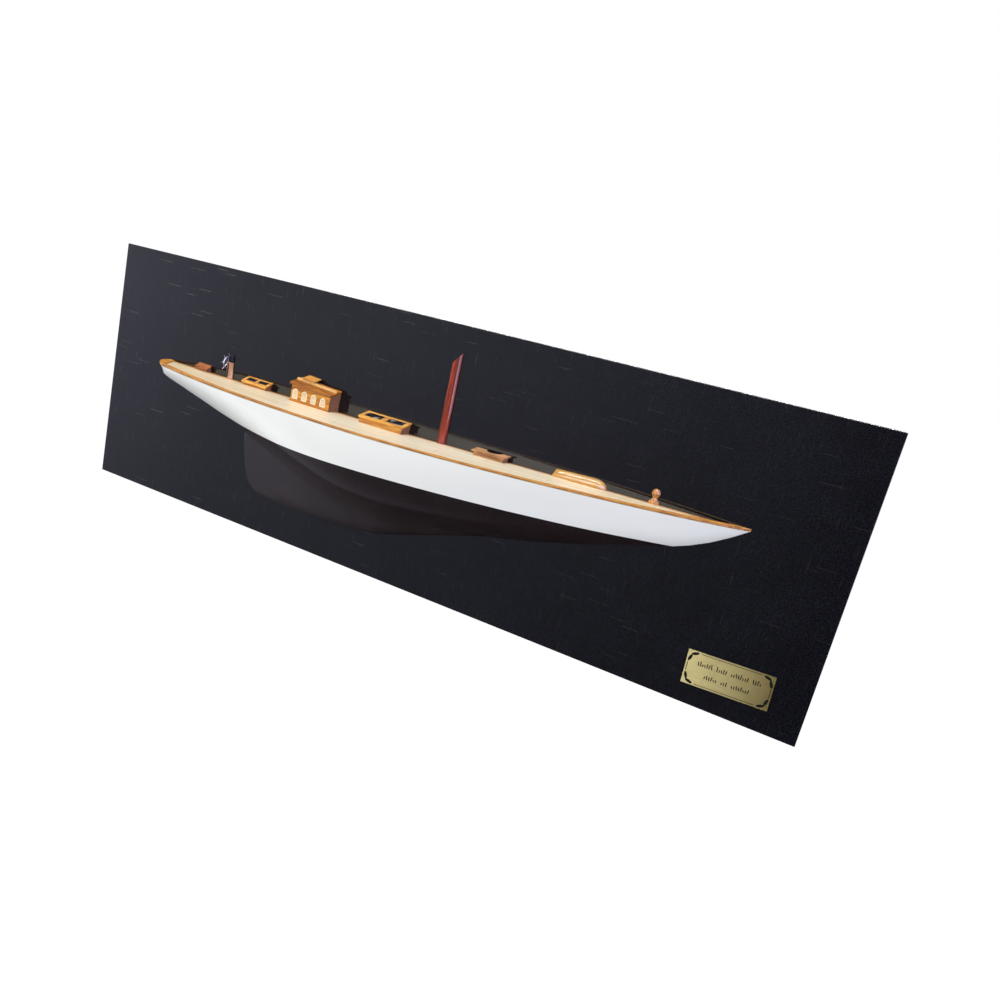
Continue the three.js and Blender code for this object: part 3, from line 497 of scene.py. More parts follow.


# Planks along the deck, and a brown band along the board's face, which narrows forward
deckPlanks = {
    "width": 12.5, "seam": 1.5, "length": 190, "stagger": 0.382, "grainShift": 0.4,
    "boardFace": -18.0, "stripAft": 8.5, "stripForward": 5.5, "stripFrom": -300, "stripTo": 60,
    "coat": 0.45, "coatRoughness": 0.3, "roughness": 0.4, "seamRoughness": 0.2,
    "grainRelief": 0.15, "bump": 0.04, "bumpStrength": 0.5,
}
deckTones = {
    "pale": srgb(255, 246, 224), "dark": srgb(226, 200, 150),
    "grainSize": 1.4, "streaks": 0.7, "pores": 0.3,
    "aft": srgb(238, 218, 176), "amidships": srgb(246, 244, 226), "forward": srgb(238, 220, 188),
    "aftRange": (-0.34, -0.04), "forwardRange": (0.1, 0.3), "agedShare": 0.5,
    "plank": srgb(220, 190, 140), "plankShare": 0.35,
    "caulking": srgb(180, 138, 86), "caulkingShare": 0.42, "strip": srgb(186, 128, 50),
}


def makeDeckMaterial():
    material, sheet, shader, place = newMaterial(
        "deckPlanks", deckPlanks["coat"], deckPlanks["coatRoughness"])
    x, y, _ = sheet.parts(place)
    rows = sheet.over(y, deckPlanks["width"] * mm)
    row = sheet.math("FLOOR", rows)
    stagger = sheet.math("FRACT", sheet.times(row, deckPlanks["stagger"]))
    lengths = sheet.plus(sheet.over(x, deckPlanks["length"] * mm), stagger)
    seamShare = deckPlanks["seam"] / deckPlanks["width"]
    buttShare = deckPlanks["seam"] / deckPlanks["length"]
    long = sheet.math("LESS_THAN", sheet.math("FRACT", rows), seamShare)
    butt = sheet.math("LESS_THAN", sheet.math("FRACT", lengths), buttShare)
    seam = sheet.plus(long, butt, clamp=True)
    # each plank has its own tone and its own stretch of grain
    tint = sheet.add("ShaderNodeTexWhiteNoise", noise_dimensions="3D")
    sheet.link(sheet.joined(row, sheet.math("FLOOR", lengths), 0.0), tint.inputs["Vector"])
    shifted = sheet.add("ShaderNodeVectorMath", operation="MULTIPLY_ADD")
    sheet.link(tint.outputs["Color"], shifted.inputs[0])
    shifted.inputs[1].default_value = (deckPlanks["grainShift"],) * 3
    sheet.link(place, shifted.inputs[2])
    grain = useGroup(sheet, woodGrain, {
        "Vector": shifted.outputs[0], "Pale": deckTones["pale"], "Dark": deckTones["dark"],
        "Grain Size": deckTones["grainSize"], "Streaks": deckTones["streaks"],
        "Pores": deckTones["pores"],
    })
    aged = sheet.mix(
        sheet.span(x, *deckTones["aftRange"]), deckTones["aft"], deckTones["amidships"])
    aged = sheet.mix(sheet.span(x, *deckTones["forwardRange"]), aged, deckTones["forward"])
    toned = sheet.mix(deckTones["agedShare"], grain["Color"], aged)
    plankShare = sheet.times(tint.outputs["Value"], deckTones["plankShare"])
    varied = sheet.mix(plankShare, toned, deckTones["plank"])
    caulked = sheet.mix(
        sheet.times(seam, deckTones["caulkingShare"]), varied, deckTones["caulking"])
    breadth = sheet.span(
        x, deckPlanks["stripFrom"] * mm, deckPlanks["stripTo"] * mm,
        deckPlanks["stripAft"] * mm, deckPlanks["stripForward"] * mm,
    )
    strip = sheet.math("GREATER_THAN", sheet.plus(y, breadth), deckPlanks["boardFace"] * mm)
    rough = sheet.plus(deckPlanks["roughness"], sheet.times(seam, deckPlanks["seamRoughness"]))
    paint(sheet, shader, sheet.mix(strip, caulked, deckTones["strip"]), rough)
    relief = sheet.minus(sheet.times(grain["Height"], deckPlanks["grainRelief"]), seam)
    bump(sheet, shader, relief, deckPlanks["bump"], deckPlanks["bumpStrength"])
    return material


# Brushed brass of the plate, with a painted reflection that is bright at the left end and darker
# towards its outer end
brass = {
    "from": 342, "to": 425, "left": srgb(226, 212, 148), "right": srgb(94, 82, 42),
    "metallic": 0.45, "roughness": (0.2, 0.8, 0.34, 0.46),
    "brushStretch": (30, 30, 1400), "brush": (1.0, 3, 0.6), "brushRange": (0.3, 0.7, 0.0, 0.3),
    "brushColor": srgb(150, 132, 74),
    "spot": (55, 3, 0.6), "spotRange": (0.5, 0.75), "spotShare": 0.35,
    "spotColor": srgb(120, 104, 56), "bump": 0.004, "bumpStrength": 0.4,
}


def makeBrassMaterial():
    material, sheet, shader, place = newMaterial("satinBrass", metallic=brass["metallic"])
    brushed = sheet.noise(sheet.mapped(place, scale=brass["brushStretch"]), *brass["brush"])
    across = sheet.span(sheet.parts(place)[0], brass["from"] * mm, brass["to"] * mm)
    # painted reflection: the bright room on the left, falling off towards the plate's outer end
    paintedReflectionFade = sheet.mix(across, brass["left"], brass["right"])
    brushing = sheet.mix(sheet.span(brushed, *brass["brushRange"]), paintedReflectionFade, brass["brushColor"])
    spots = sheet.span(sheet.noise(place, *brass["spot"]), *brass["spotRange"])
    tarnish = sheet.mix(sheet.times(spots, brass["spotShare"]), brushing, brass["spotColor"])
    paint(sheet, shader, tarnish, sheet.span(brushed, *brass["roughness"]))
    bump(sheet, shader, brushed, brass["bump"], brass["bumpStrength"])
    return material


# Mottled finishes: fill of the plate's strokes, cast steel, and painted shade for the unlit inside
# of the fore hatch
mottled = {
    "fill": {
        "name": "engravingFill", "tones": (srgb(4, 3, 2), srgb(12, 10, 6)), "ior": 1.2,
        "metallic": 0.0, "noise": (900, 3, 0.6), "toneRange": (0.4, 0.7),
        "roughness": (0.3, 0.7, 0.5, 0.7), "bump": 0.0,
    },
    "steel": {
        "name": "castSteel", "tones": (srgb(164, 158, 160), srgb(78, 76, 84)), "ior": 1.5,
        "metallic": 1.0, "noise": (900, 3, 0.6), "toneRange": None,
        "roughness": (0.3, 0.7, 0.22, 0.4), "bump": 0.02, "bumpStrength": 0.4,
    },
    "shadow": {
        "name": "paintedShadow", "tones": (srgb(10, 9, 10), srgb(24, 20, 20)), "ior": 1.5,
        "metallic": 0.0, "noise": (300, 3, 0.6), "toneRange": None,
        "roughness": (0.3, 0.7, 0.7, 0.9), "bump": 0.0,
    },
}


def makeMottledMaterial(look):
    material, sheet, shader, place = newMaterial(
        look["name"], ior=look["ior"], metallic=look["metallic"])
    mottle = sheet.noise(place, *look["noise"])
    share = sheet.span(mottle, *look["toneRange"]) if look["toneRange"] else mottle
    paint(sheet, shader, sheet.mix(share, *look["tones"]), sheet.span(mottle, *look["roughness"]))
    if look["bump"]:
        bump(sheet, shader, mottle, look["bump"], look["bumpStrength"])
    return material


darkGloss = {
    "tones": (srgb(3, 4, 9), srgb(9, 11, 20)), "ior": 1.2, "roughness": 0.45, "dust": 0.3,
    "bump": 0.01, "bumpStrength": 0.4,
}


def makeDarkPaint():
    material, sheet, shader, place = newMaterial("darkGloss", ior=darkGloss["ior"])
    skin = useGroup(sheet, paintSkin, {"Vector": place, "Dust": darkGloss["dust"]})
    rough = sheet.plus(darkGloss["roughness"], skin["Roughness Shift"])
    paint(sheet, shader, sheet.mix(skin["Cloud"], *darkGloss["tones"]), rough)
    bump(sheet, shader, skin["Height"], darkGloss["bump"], darkGloss["bumpStrength"])
    return material


# Dark panes. Those of the main skylight carry a smear with a painted reflection, a pale blur, from
# the given x forward, in metres
darkPane = {
    "tones": (srgb(20, 19, 26), srgb(40, 38, 46)), "roughness": 0.1, "dust": 0.6, "rippleSize": 6.0,
    "smearGlintFrom": -0.1, "smearGlintColor": srgb(176, 168, 160), "smearGlintStretch": (90, 200, 200),
    "smearGlint": (1.0, 2, 0.5), "smearGlintRange": (0.5, 0.68), "smearGlintShare": 0.6, "smearGlintRoughness": 0.3,
    "bump": 0.08, "bumpStrength": 0.6,
}


def makeGlassMaterial():
    material, sheet, shader, place = newMaterial("darkPane")
    skin = useGroup(sheet, paintSkin, {
        "Vector": place, "Dust": darkPane["dust"], "Ripple Size": darkPane["rippleSize"],
    })
    amidships = sheet.math("GREATER_THAN", sheet.parts(place)[0], darkPane["smearGlintFrom"])
    # the smear's pale blur is a painted reflection; it also roughens the pane
    smearGlint = sheet.noise(sheet.mapped(place, scale=darkPane["smearGlintStretch"]), *darkPane["smearGlint"])
    smearGlint = sheet.times(sheet.span(smearGlint, *darkPane["smearGlintRange"], smooth=True), amidships)
    clear = sheet.mix(skin["Cloud"], *darkPane["tones"])
    smearGlinted = sheet.mix(sheet.times(smearGlint, darkPane["smearGlintShare"]), clear, darkPane["smearGlintColor"])
    rough = sheet.plus(darkPane["roughness"], sheet.times(smearGlint, darkPane["smearGlintRoughness"]))
    paint(sheet, shader, smearGlinted, rough)
    bump(sheet, shader, skin["Height"], darkPane["bump"], darkPane["bumpStrength"])
    return material


# Varnished woods. Each has the two tones of its grain, and what differs from this usual skin.
# Rubbed edges, worn and with a painted highlight, are the pale tone, multiplied by the gain and
# raised by the lift
varnish = {
    "coat": 0.12, "coatRoughness": 0.25, "roughness": 0.5, "ior": 1.35, "turn": (0, 0, 0),
    "rubAndHighlight": 0.25, "rubHighlightGain": 1.35, "rubHighlightLift": 0.02, "bump": 0.02, "foot": None,
}
grainUpright = (0, math.pi / 2, 0)

woods = {
    "rail": {
        "name": "railWood", "pale": srgb(232, 166, 62), "dark": srgb(150, 82, 20),
        "grainSize": 0.8, "streaks": 0.8, "pores": 0.9, "rubAndHighlight": 0.2,
    },
    # The rails' side faces: the same wood darker, painted shade
    "shadedRailSide": {
        "name": "shadedRailSideWood", "pale": srgb(208, 156, 84), "dark": srgb(138, 86, 38),
        "grainSize": 0.8, "streaks": 0.8, "pores": 0.9, "rubAndHighlight": 0.2,
    },
    "honey": {
        "name": "honeyWood", "pale": srgb(244, 190, 90), "dark": srgb(170, 102, 36),
        "grainSize": 0.8, "streaks": 0.8, "pores": 0.7, "rubAndHighlight": 0.6,
    },
    "wall": {
        "name": "houseWood", "pale": srgb(242, 180, 62), "dark": srgb(156, 88, 18),
        "grainSize": 0.8, "streaks": 0.8, "pores": 0.7, "rubAndHighlight": 0.4,
        "foot": {"from": 24.5, "to": 27.0, "amount": 0.55, "color": srgb(168, 100, 34)},
    },
    "roof": {
        "name": "roofWood", "pale": srgb(200, 126, 24), "dark": srgb(100, 50, 6),
        "grainSize": 0.8, "streaks": 0.9, "pores": 0.8, "rubAndHighlight": 0.4,
    },
    # The roof's front edge: darker, painted shade under the eave
    "shadedEave": {
        "name": "shadedEaveWood", "pale": srgb(170, 106, 46), "dark": srgb(98, 52, 20),
        "grainSize": 0.6, "streaks": 0.6, "pores": 0.5, "rubAndHighlight": 0.6,
    },
    "lath": {
        "name": "lathWood", "pale": srgb(252, 214, 146), "dark": srgb(218, 166, 96),
        "grainSize": 0.6, "streaks": 0.5, "pores": 0.3, "rubAndHighlight": 0.2,
    },
    # Ends towards the bow: end grain, darker and pinkish as painted shade
    "shadedEndGrain": {
        "name": "shadedEndGrain", "pale": srgb(168, 124, 98), "dark": srgb(104, 70, 56),
        "grainSize": 0.5, "streaks": 0.8, "pores": 0.8, "turn": grainUpright, "rubAndHighlight": 0.35,
    },
    "boxWood": {
        "name": "boxWood", "pale": srgb(176, 106, 48), "dark": srgb(118, 62, 24),
        "grainSize": 0.6, "streaks": 0.8, "pores": 0.7, "rubAndHighlight": 0.4,
    },
    "hatchWood": {
        "name": "hatchWood", "pale": srgb(212, 164, 112), "dark": srgb(130, 84, 50),
        "grainSize": 0.6, "streaks": 0.9, "pores": 0.9, "rubAndHighlight": 0.6,
    },
    "dome": {
        "name": "domeWood", "pale": srgb(208, 162, 82), "dark": srgb(168, 118, 46),
        "grainSize": 1.2, "streaks": 0.8, "pores": 0.4, "rubAndHighlight": 0.0,
        "coat": 1.0, "coatRoughness": 0.02, "ior": 1.25, "bump": 0.002,
    },
    "cream": {
        "name": "creamWood", "pale": srgb(248, 244, 234), "dark": srgb(236, 226, 206),
        "grainSize": 0.6, "streaks": 0.4, "pores": 0.1, "rubAndHighlight": 0.1,
    },
    "panel": {
        "name": "panelWood", "pale": srgb(236, 216, 184), "dark": srgb(212, 188, 150),
        "grainSize": 0.5, "streaks": 0.7, "pores": 0.5, "rubAndHighlight": 0.0,
    },
    "pale": {
        "name": "paleWood", "pale": srgb(206, 156, 116), "dark": srgb(158, 108, 74),
        "grainSize": 0.6, "streaks": 0.7, "pores": 0.6, "turn": grainUpright, "rubAndHighlight": 0.0,
        "coat": 0.6, "coatRoughness": 0.06, "bump": 0.004,
    },
    "bittWood": {
        "name": "bittWood", "pale": srgb(204, 148, 84), "dark": srgb(156, 102, 52),
        "grainSize": 0.6, "streaks": 0.7, "pores": 0.5, "turn": grainUpright, "rubAndHighlight": 0.0,
        "coat": 0.7, "coatRoughness": 0.04, "ior": 1.3, "bump": 0.004,
    },
    "mahogany": {
        "name": "mahogany", "pale": srgb(158, 56, 18), "dark": srgb(96, 24, 8),
        "grainSize": 1.3, "streaks": 0.8, "pores": 0.5, "turn": grainUpright, "rubAndHighlight": 0.0,
        "coat": 0.6, "coatRoughness": 0.03, "roughness": 0.6, "ior": 1.25, "bump": 0.002,
    },
}


def makeWoodMaterial(wood):
    look = {**varnish, **wood}
    material, sheet, shader, place = newMaterial(
        look["name"], look["coat"], look["coatRoughness"], look["ior"])
    grain = useGroup(sheet, woodGrain, {
        "Vector": sheet.mapped(place, turn=look["turn"]), "Pale": look["pale"],
        "Dark": look["dark"], "Grain Size": look["grainSize"], "Streaks": look["streaks"],
        "Pores": look["pores"],
    })
    edge = useGroup(sheet, edgeWearAndHighlight, {"Vector": place, "Amount": look["rubAndHighlight"]})
    # rubbed edges: wear plus a painted highlight, brighter than the pale tone
    rubbedAndHighlighted = [min(1.0, v * look["rubHighlightGain"] + look["rubHighlightLift"]) for v in look["pale"][:3]]
    tone = sheet.mix(edge["Mask"], grain["Color"], (*rubbedAndHighlighted, 1.0))
    foot = look["foot"]
    if foot:
        # darker towards the foot of the wall
        up = sheet.parts(place)[2]
        footDarkening = sheet.span(up, foot["from"] * mm, foot["to"] * mm, foot["amount"], 0.0)
        tone = sheet.mix(footDarkening, tone, foot["color"])
    skin = useGroup(sheet, paintSkin, {"Vector": place})
    shift = sheet.plus(grain["Gloss Loss"], skin["Roughness Shift"])
    paint(sheet, shader, tone, sheet.plus(look["roughness"], shift))
    bump(sheet, shader, grain["Height"], look["bump"])
    return material


materials = {
    "board": makeBoardMaterial(),
    "hull": makeHullMaterial(),
    "deck": makeDeckMaterial(),
    "brass": makeBrassMaterial(),
    "dark": makeDarkPaint(),
    "glass": makeGlassMaterial(),
}
for key, look in mottled.items():
    materials[key] = makeMottledMaterial(look)
for key, look in woods.items():
    materials[key] = makeWoodMaterial(look)
print("materials built:", len(materials))


def coat(piece, key):
    piece.data.materials.clear()
    piece.data.materials.append(materials[key])


# A second finish on the faces that pass the test
def touchUp(piece, key, test):
    piece.data.materials.append(materials[key])
    for face in piece.data.polygons:
        if test(face):
            face.material_index = len(piece.data.materials) - 1


# Camera: the photograph's viewpoint

photoCamera = {
    "place": (382.38, -715.51, 150.89),
    "right": (0.88959, 0.39435, 0.23046),
    "up": (-0.29585, 0.11306, 0.94852),
    "back": (0.34799, -0.91198, 0.21725),
    "focal": 26.32,
    "sensor": 36.0,
    "nearest": 0.01,
    "farthest": 100,
}


def makeCamera():
    data = bpy.data.cameras.new("photoCamera")
    data.lens = photoCamera["focal"]
    data.sensor_width = photoCamera["sensor"]
    data.clip_start = photoCamera["nearest"]
    data.clip_end = photoCamera["farthest"]
    camera = bpy.data.objects.new("photoCamera", data)
    bpy.context.scene.collection.objects.link(camera)
    axes = Matrix((photoCamera["right"], photoCamera["up"], photoCamera["back"]))
    place = Vector(photoCamera["place"]) * mm
    camera.matrix_world = Matrix.Translation(place) @ axes.transposed().to_4x4()
    bpy.context.scene.camera = camera


makeCamera()


# Light: a window in front to the left, two long tubes overhead and a cool window on the right.
# Places and sizes are in metres

lights = {
    "frontWindow": {
        "place": (-0.45, -1.9, 0.8), "aim": (0, 0, 0), "size": (0.7, 0.7),
        "power": 2.5, "color": (1.0, 0.98, 0.96),
    },
    "nearTube": {
        "place": (-0.1, -1.15, 1.35), "aim": (-0.1, 0, 0), "size": (1.2, 0.2),
        "power": 6.5, "color": (1.0, 0.98, 0.94),
    },
    "farTube": {
        "place": (-0.1, -0.3, 1.5), "aim": (-0.1, 0, 0), "size": (1.2, 0.2),
        "power": 13, "color": (1.0, 0.98, 0.94),
    },
    "sideWindow": {
        "place": (1.6, -0.25, 0.0), "aim": (0.2, -0.05, 0), "size": (0.8, 0.7),
        "power": 7, "color": (0.8, 0.76, 1.0),
    },
}


def makeLights():
    for name, values in lights.items():
        data = bpy.data.lights.new(name, "AREA")
        data.shape = "RECTANGLE"
        data.size, data.size_y = values["size"]
        data.energy = values["power"]
        data.color = values["color"]
        lamp = bpy.data.objects.new(name, data)
        bpy.context.scene.collection.objects.link(lamp)
        place = Vector(values["place"])
        turn = (place - Vector(values["aim"])).to_track_quat("Z", "Y")
        lamp.matrix_world = Matrix.Translation(place) @ turn.to_matrix().to_4x4()


# The room, by the direction one looks in: x from the left wall, -1, to the right wall, 1, and z up.
# The camera sees white past the board. What lights the pieces is bright walls on the left that fall
# off to the right, over a pale floor that is palest far to the left.
room = {
    "seen": (1.0, 1.0, 1.0, 1.0),
    "farLeft": (2.1, 2.08, 2.02, 1.0),
    "leftWall": (0.7, 0.69, 0.67, 1.0),
    "rightWall": (0.19, 0.2, 0.24, 1.0),
    "leftFloor": (0.98, 0.99, 0.98, 1.0),
    "rightFloor": (0.72, 0.77, 0.84, 1.0),
    "farFloor": (3.4, 3.35, 3.2, 1.0),
    "acrossRange": (-0.3, 0.4),
    "farLeftRange": (-0.6, -0.85),
    "farFloorRange": (-0.35, -0.75),
    "horizonRange": (-0.35, 0.0),
}

# What the gloss mirrors instead: the same room in pairs of x and brightness, darker downwards, two
# lamp strips overhead, a pale wall above the deck, and a cool window on the right, narrower below
mirror = {
    "stops": [
        (-1.0, 0.85), (-0.8, 0.8), (-0.74, 0.72), (-0.67, 0.62), (-0.51, 0.56),
        (-0.42, 0.48), (-0.26, 0.37), (-0.13, 0.26), (0.0, 0.18), (0.1, 0.08),
        (0.2, 0.5), (0.37, 1.0), (0.5, 0.6), (0.7, 0.1), (1.0, 0.05),
    ],
    "tint": (0.96, 0.99, 1.23, 1.0),
    "lowRange": (-0.35, -0.05, 0.55, 1.0),
    "deepRange": (-0.8, -0.35, 0.35, 1.0),
    "strip": 26.0,
    "stripHeights": ((0.42, 0.6), (3.2, 5.4)),
    "stripSides": (-0.6, 0.45),
    "wall": 1.6,
    "wallHeight": (0.03, 0.4),
    "wallFront": -0.4,
    "window": (7.6, 7.4, 11.6, 1.0),
    "highWindow": {"height": (0.05, 0.74), "side": (0.38, 0.5)},
    "lowWindow": {"height": (-0.4, 0.05), "side": (0.9, 0.95)},
    "windowFront": -0.1,
    "smallest": 0.02,
}


def mirroredRoom(sheet, x, y, z):
    ramp = sheet.add("ShaderNodeValToRGB")
    stops = ramp.color_ramp.elements
    present = len(stops)
    for index, (side, level) in enumerate(mirror["stops"]):
        stop = stops[index] if index < present else stops.new(1.0)
        stop.position = (side + 1) / 2
        stop.color = (level, level, level, 1.0)
    sheet.link(sheet.times(sheet.plus(x, 1.0), 0.5), ramp.inputs["Fac"])
    fall = sheet.times(sheet.span(z, *mirror["lowRange"]), sheet.span(z, *mirror["deepRange"]))
    walls = sheet.mix(1.0, ramp.outputs["Color"], sheet.joined(fall, fall, fall), "MULTIPLY")
    scene = sheet.mix(1.0, walls, mirror["tint"], "MULTIPLY")
    # the strips stand at set slopes above the level
    ahead = sheet.math("MAXIMUM", sheet.minus(0.0, y), mirror["smallest"])
    slope = sheet.over(z, ahead)
    lower, upper = mirror["stripHeights"]
    strips = sheet.plus(sheet.inside(slope, *lower), sheet.inside(slope, *upper))
    strips = sheet.times(strips, sheet.inside(x, *mirror["stripSides"]))
    bright = sheet.times(strips, mirror["strip"])
    scene = sheet.mix(strips, scene, sheet.joined(bright, bright, bright))
    wall = sheet.inside(z, *mirror["wallHeight"])
    wall = sheet.times(wall, sheet.math("LESS_THAN", y, mirror["wallFront"]))
    level = sheet.times(wall, mirror["wall"])
    scene = sheet.mix(wall, scene, sheet.joined(level, level, level))
    panes = []
    for part in (mirror["highWindow"], mirror["lowWindow"]):
        height = sheet.inside(z, *part["height"])
        panes.append(sheet.times(height, sheet.span(x, *part["side"], smooth=True)))
    window = sheet.math("MAXIMUM", *panes)
    window = sheet.times(window, sheet.math("LESS_THAN", y, mirror["windowFront"]))
    return sheet.mix(window, scene, mirror["window"])


def litRoom(sheet, x, z):
    across = sheet.span(x, *room["acrossRange"], smooth=True)
    walls = sheet.mix(across, room["leftWall"], room["rightWall"])
    farLeft = sheet.span(x, *room["farLeftRange"], smooth=True)
    walls = sheet.mix(farLeft, walls, room["farLeft"])
    ground = sheet.mix(across, room["leftFloor"], room["rightFloor"])
    farFloor = sheet.span(x, *room["farFloorRange"], smooth=True)
    ground = sheet.mix(farFloor, ground, room["farFloor"])
    return sheet.mix(sheet.span(z, *room["horizonRange"], smooth=True), ground, walls)


def makeWorld():
    world = bpy.data.worlds.new("paleRoom")
    world.use_nodes = True
    bpy.context.scene.world = world
    sheet = Sheet(world.node_tree)
    background = world.node_tree.nodes["Background"]
    background.inputs["Strength"].default_value = 1.0
    path = sheet.add("ShaderNodeLightPath").outputs
    x, y, z = sheet.parts(sheet.add("ShaderNodeTexCoord").outputs["Generated"])
    unseen = sheet.mix(path["Is Glossy Ray"], litRoom(sheet, x, z), mirroredRoom(sheet, x, y, z))
    sheet.link(sheet.mix(path["Is Camera Ray"], unseen, room["seen"]), background.inputs["Color"])


# The floor, in metres: pale paper far below
floor = {
    "place": (0, 0.2, -1.2), "radius": 40, "corners": 96,
    "glow": 1.05, "roughness": 0.9, "fibre": (40, 2, 0.5),
    "tones": (srgb(250, 250, 250), srgb(255, 255, 255)),
}


def makeFloor():
    deselectAll()
    bpy.ops.mesh.primitive_circle_add(
        vertices=floor["corners"], radius=floor["radius"], fill_type="NGON",
        location=floor["place"],
    )
    disc = bpy.context.object
    disc.name = "paleFloor"
    settle(disc)
    material, sheet, shader, place = newMaterial("floorPaper")
    fibre = sheet.noise(place, *floor["fibre"])
    sheet.link(sheet.mix(fibre, *floor["tones"]), shader.inputs["Emission Color"])
    shader.inputs["Base Color"].default_value = (0, 0, 0, 1)
    shader.inputs["Roughness"].default_value = floor["roughness"]
    shader.inputs["Emission Strength"].default_value = floor["glow"]
    shader.inputs["Specular IOR Level"].default_value = 0.0
    disc.data.materials.append(material)
    # the paper is only a background: the room's light reaches the board past it
    disc.visible_diffuse = False
    disc.visible_glossy = False
    disc.visible_shadow = False


makeLights()
makeWorld()
makeFloor()
bpy.context.scene.view_settings.view_transform = "Standard"
print("camera, lights and floor placed")


# Board

def makeBoard():
    piece = copyOfNode("backboard", "lacqueredBoard")
    softEdges(piece, board["bevel"], board["bevelSegments"])
    coat(piece, "board")
    finishPiece(piece, "lacquer", "backboard")


makeBoard()


# Hull: its triangles are paired into quads, up to these angles in degrees, and shaded smooth
hull = {"merge": 0.02, "flat": 0.05, "quadAngle": 30, "quadShape": 60, "smooth": 38}


def makeHull():
    piece = copyOfNode("half_hull", "paintedHull", merge=hull["merge"], flat=hull["flat"])
    editMesh(piece)
    bpy.ops.mesh.tris_convert_to_quads(
        face_threshold=math.radians(hull["quadAngle"]),
        shape_threshold=math.radians(hull["quadShape"]),
    )
    bpy.ops.object.mode_set(mode="OBJECT")
    smoothByAngle(piece, hull["smooth"])
    coat(piece, "hull")
    finishPiece(piece, "hull_paint", "half_hull")


makeHull()


# A face looks one way if that part of its normal passes facing, and is upright below leaning
facing = 0.9
leaning = 0.5


def facesBow(face):
    return face.normal.x > facing


def facesFront(face):
    return face.normal.y < -facing


def facesOut(face):
    return abs(face.normal.z) < leaning


# Deck, rails and fittings. A second finish goes on the faces that pass its test
# On faces towards the bow the second finish is end grain darkened as painted shade
fittings = {
    "deck": {"name": "plankedDeck", "slot": "deck_maple", "finish": "deck", "bevel": 0.0},
    "covering_board": {
        "name": "coveringBoard", "slot": "rail_wood", "finish": "rail", "bevel": 0.3,
        # painted shade: a darker copy of the rail wood on the side faces
        "second": ("shadedRailSide", facesOut),
    },
    "taffrail": {
        "name": "sternRail", "slot": "rail_wood", "finish": "rail", "bevel": 0.25,
        # painted shade: a darker copy of the rail wood on the side faces
        "second": ("shadedRailSide", facesOut),
    },
    "stern_box": {
        "name": "sternLocker", "slot": "honey_wood", "finish": "boxWood", "bevel": 0.25,
        "second": ("shadedEndGrain", facesBow),
    },
    "stern_box_lid": {
        "name": "sternLockerLid", "slot": "honey_wood", "finish": "boxWood", "bevel": 0.3,
    },
    "steering_post": {
        "name": "steeringPedestal", "slot": "pale_wood", "finish": "pale", "bevel": 0.0,
    },
    "steering_cap": {
        "name": "pedestalCap", "slot": "dark_paint", "finish": "dark", "bevel": 0.0,
    },
    "steering_wheel": {
        "name": "spokedWheel", "slot": "steel", "finish": "steel", "bevel": 0.0,
    },
    "aft_skylight_coaming": {
        "name": "aftSkylightCoaming", "slot": "honey_wood", "finish": "honey", "bevel": 0.2,
        "second": ("shadedEndGrain", facesBow),
    },
    "aft_skylight_frame": {
        "name": "aftSkylightFrame", "slot": "honey_wood", "finish": "honey", "bevel": 0.25,
    },
    "main_skylight_coaming": {
        "name": "mainSkylightCoaming", "slot": "honey_wood", "finish": "honey", "bevel": 0.25,
        "second": ("shadedEndGrain", facesBow),
    },
    "main_skylight_frame": {
        "name": "mainSkylightFrame", "slot": "honey_wood", "finish": "honey", "bevel": 0.3,
    },
    "house_walls": {
        "name": "houseWalls", "slot": "honey_wood", "finish": "wall", "bevel": 0.2,
        "second": ("shadedEndGrain", facesBow),
    },
    "house_roof": {
        "name": "houseRoof", "slot": "honey_wood", "finish": "roof", "bevel": 0.3,
        # painted shade: a darker wood on the roof's front faces
        "second": ("shadedEave", facesFront),
    },
    "house_roof_rail": {
        "name": "houseRoofLath", "slot": "cream_wood", "finish": "lath", "bevel": 0.35,
    },
    "sliding_hatch": {
        "name": "slidingHatch", "slot": "honey_wood", "finish": "roof", "bevel": 0.2,
        "second": ("shadedEndGrain", facesBow),
    },
    "sliding_hatch_plate": {
        "name": "slidingHatchPlate", "slot": "honey_wood", "finish": "honey", "bevel": 0.3,
    },
    "mast_stub": {
        "name": "mastStub", "slot": "mahogany", "finish": "mahogany", "bevel": 0.0,
    },
    "deck_dome": {
        "name": "deckDome", "slot": "honey_wood", "finish": "dome", "bevel": 0.0,
    },
    "bitt": {
        "name": "bittPost", "slot": "pale_wood", "finish": "bittWood", "bevel": 0.0,
    },
}
for skylight in ("aft", "main"):
    for side in (1, 2):
        fittings[f"{skylight}_skylight_pane_{side}"] = {
            "name": f"{skylight}SkylightPane{side}", "slot": "dark_glass", "finish": "glass",
            "bevel": 0.1,
        }


def makeFittings():
    for node, values in fittings.items():
        piece = copyOfNode(node, values["name"])
        coat(piece, values["finish"])
        if "second" in values:
            touchUp(piece, *values["second"])
        if values["bevel"] > 0:
            softEdges(piece, values["bevel"])
        else:
            smoothByAngle(piece)
        finishPiece(piece, values["slot"], node)


makeFittings()
print("deck and fittings made")


# House windows: a raised rim around a slightly sunk, yellower panel

houseWindow = {"count": 4, "rim": 1.0, "sink": 0.18, "bevel": 0.12, "frontDepth": 0.05}


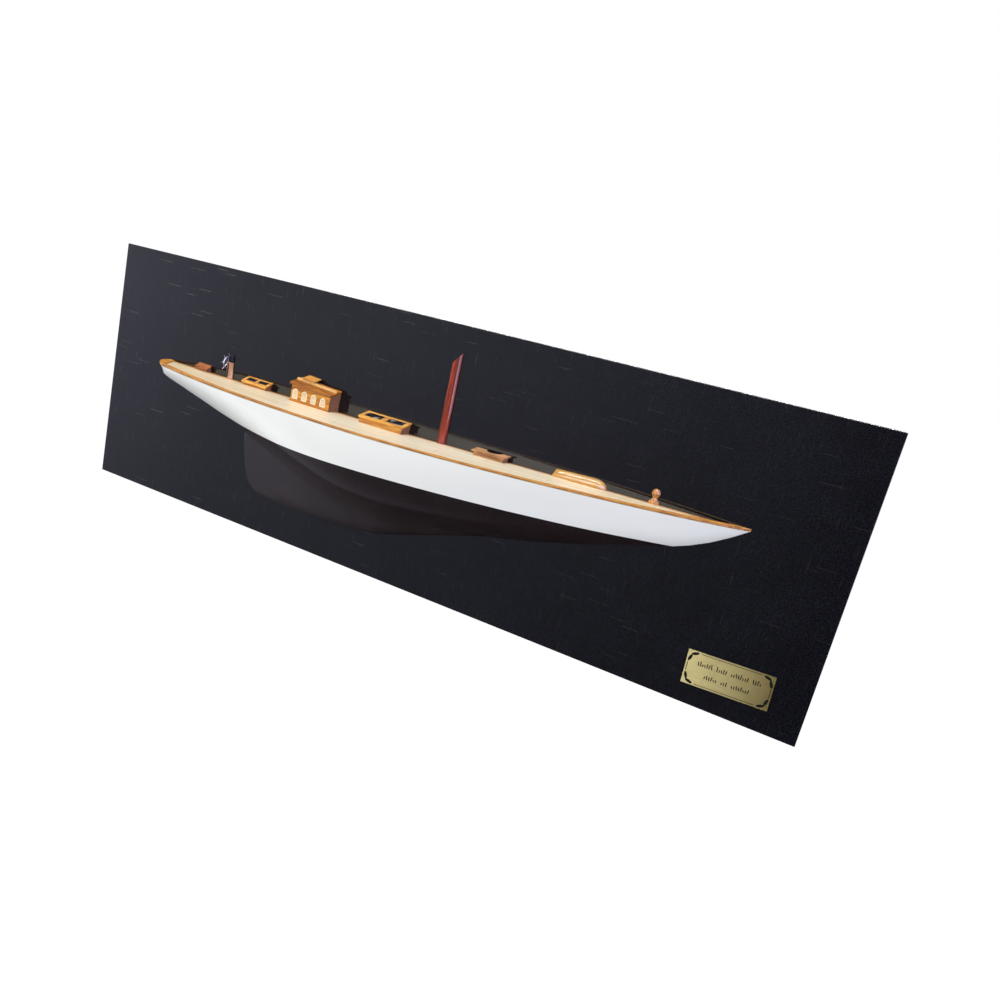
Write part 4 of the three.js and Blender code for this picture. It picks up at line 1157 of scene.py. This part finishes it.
def makeHouseWindows():
    for number in range(1, houseWindow["count"] + 1):
        node = f"house_window_{number}"
        piece = copyOfNode(node, f"houseWindow{number}")
        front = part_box(node)[0][1] + houseWindow["frontDepth"] * mm
        editFaces(piece, lambda face: face.center.y < front and facesFront(face))
        bpy.ops.mesh.inset(thickness=houseWindow["rim"] * mm, depth=-houseWindow["sink"] * mm)
        bpy.ops.object.mode_set(mode="OBJECT")
        panels = [face.index for face in piece.data.polygons if face.select]
        coat(piece, "cream")
        touchUp(piece, "panel", lambda face: face.index in panels)
        softEdges(piece, houseWindow["bevel"])
        finishPiece(piece, "cream_wood", node)


makeHouseWindows()


# Fore hatch: wood outside, and painted shade in the well under the half-oval opening in its lid

foreHatch = {
    "wall": 1.5, "endDepth": 0.1,
    "pieces": {
        "fore_hatch_coaming": {"name": "foreHatchCoaming", "bevel": 0.2},
        "fore_hatch_lid": {"name": "foreHatchLid", "bevel": 0.3},
    },
}


# Walls and floor of the well: past the hatch's own walls, and neither its top, foot nor back
def liesInWell(face, low, high):
    wall = foreHatch["wall"] * mm
    along = low[0] + wall < face.center.x < high[0] - wall
    top = face.normal.z >= facing and face.center.z >= (low[2] + high[2]) / 2
    foot = face.normal.z <= -facing
    back = face.normal.y >= facing
    return along and face.center.y > low[1] + wall and not (top or foot or back)


def makeForeHatch():
    for node, values in foreHatch["pieces"].items():
        low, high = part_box(node)
        piece = copyOfNode(node, values["name"])
        coat(piece, "hatchWood")
        end = high[0] - foreHatch["endDepth"] * mm
        # painted shade on the end towards the bow
        touchUp(piece, "shadedEndGrain", lambda face: facesBow(face) and face.center.x > end)
        # painted shade: the well's walls and floor get a near-black finish
        touchUp(piece, "shadow", lambda face: liesInWell(face, low, high))
        softEdges(piece, values["bevel"])
        finishPiece(piece, "honey_wood", node)


makeForeHatch()
print("windows and fore hatch made")


# Engraved plate: brass face, and dark fill in all that is cut below it, inside the plate's edge

plaque = {"merge": 0.001, "cutDepth": 0.05, "edge": 0.4}


def isCut(face, low, high):
    edge = plaque["edge"] * mm
    below = face.center.y > low[1] + plaque["cutDepth"] * mm and face.normal.y < leaning
    along = low[0] + edge < face.center.x < high[0] - edge
    return below and along and low[2] + edge < face.center.z < high[2] - edge


def makePlaque():
    low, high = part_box("plaque")
    piece = copyOfNode("plaque", "engravedPlate", merge=plaque["merge"], flat=0)
    pick(piece)
    bpy.ops.object.shade_flat()
    coat(piece, "brass")
    touchUp(piece, "fill", lambda face: isCut(face, low, high))
    finishPiece(piece, "brass", "plaque")


makePlaque()
print("plate made")

deselectAll()
